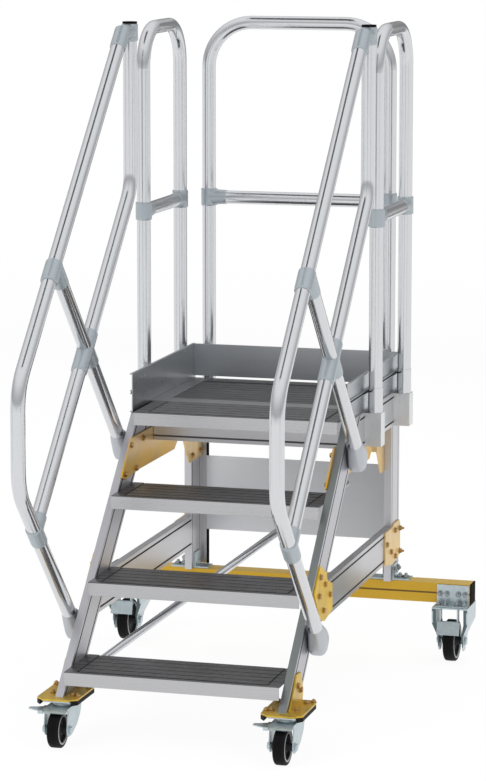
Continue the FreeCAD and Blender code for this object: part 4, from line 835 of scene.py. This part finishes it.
def add_groove_shadows():
    """Dark strips of painted shadow in the grooves of the frame profiles and the gap between the toe board
    lips.

    They are wider than the grooves and a hair proud, so that they show at a grazing view."""
    bm = bmesh.new()
    thick = 0.0012
    for sign in (-1, 1):
        faces = ((sign * (FACE_IN + DEEP), -ACROSS * sign), (sign * (FACE_OUT - DEEP), ACROSS * sign))
        for x, out in faces:
            for n in (STRINGER_FRONT + GROOVE_IN, STRINGER_FRONT + PROFILE_DEPTH - GROOVE_IN):
                ends = [Vector((x, slope_y(n, z), z)) for z in (0.1355, 0.8005)]
                bead(bm, ends[0], ends[1], out, GROOVE * 1.5, thick * 1.9)
            for bottom, rear in ((SIDE_RAIL_BOTTOM, 1.2995), (LOWER_RAIL_BOTTOM, 1.1995)):
                for z in (bottom + GROOVE_IN, bottom + PROFILE_DEPTH - GROOVE_IN):
                    start = slope_y(STRINGER_FRONT + PROFILE_DEPTH + 0.001, z)
                    ends = (Vector((x, start, z)), Vector((x, rear + BACK, z)))
                    bead(bm, ends[0], ends[1], out, GROOVE * 1.4, thick * 1.8)
            for y in (POST_FRONT + GROOVE_IN, POST_FRONT + PROFILE_DEPTH - GROOVE_IN):
                bead(bm, (x, y + BACK, 0.233), (x, y + BACK, 0.7015), out, GROOVE * 0.98, thick * 1.4)
        bead(bm, (sign * 0.319, 0.671 + BACK, 0.8605), (sign * 0.319, 1.299 + BACK, 0.8605),
             ACROSS * sign, 0.0048, 0.0030)
    for z in (SIDE_RAIL_BOTTOM + GROOVE_IN, SIDE_RAIL_BOTTOM + PROFILE_DEPTH - GROOVE_IN):
        bead(bm, (-0.294, 0.802 + BACK, z), (0.294, 0.802 + BACK, z), (0, -1, 0), GROOVE * 0.8, thick, 1)
    # Painted shadow strips in the profile grooves and between the toe board lips.
    new_piece("profile_groove_shadows", bm, [black_rubber, groove_shadow_grey], "frame")
    # Painted shadow: dark ochre strips in the two grooves of the traverse.
    bm = bmesh.new()
    for y, way in ((1.223, -1), (1.279, 1)):
        bead(bm, (-0.5595, y + BACK, 0.202), (0.5595, y + BACK, 0.202), (0, way, 0), 0.0049, 0.001)
    new_piece("traverse_groove_shadows", bm, [painted_ochre_shadow], "frame")


PAIRS = ("stringer", "side_rail", "lower_rail", "rear_post", "front_fork", "front_pedal", "rear_brake",
         "toe_board")
SOFT_EDGES = ["%s_%s" % (pair, side) for pair in PAIRS for side in ("left", "right")]
SOFT_EDGES += ["front_beam", "rear_beam", "traverse", "stair_gussets", "frame_brackets", "foot_plates",
               "hoop_leg_clamps", "rear_caster_brackets", "rear_caster_housings", "front_caster_plates",
               "post_foot_angles", "rubber_pads", "plastic_end_caps", "tread_1", "tread_2", "tread_3",
               "deck_front_plank", "deck_floor", "toe_board_rear", "rear_panel", "rear_upright_strips"]

add_camera()
add_world()
add_floor()
add_area("key", (-3.5, -6, 6), (0, 0, 0.9), (4, 4), 180)
add_area("fill", (5, -4, 4), (0, 0, 0.9), (3, 3), 60)
add_flag("back_screen", (-1.3, 6.5, 1.75), (6.5, 3.5), (0, 0, 0), 0.25)
add_flag("ceiling_strip", (-0.8, -0.5, 6), (1.6, 3), (math.radians(90), 0, 0), 0.08)
add_flag("side_strip_left", (-5, -2, 1.3), (0.9, 2.6), (0, 0, math.radians(60)), 0.3)
add_flag("side_strip_right", (5, -3.5, 1.3), (0.9, 2.6), (0, 0, math.radians(-60)), 0.3)
dress_frame()
add_rail_castings()
add_mid_castings()
add_sockets()
add_brace()
add_bolts()
add_wheels()
add_housing_flanges()
add_groove_shadows()
for node in SOFT_EDGES:
    soften(NODES[node])
bpy.context.scene.view_settings.view_transform = "Standard"

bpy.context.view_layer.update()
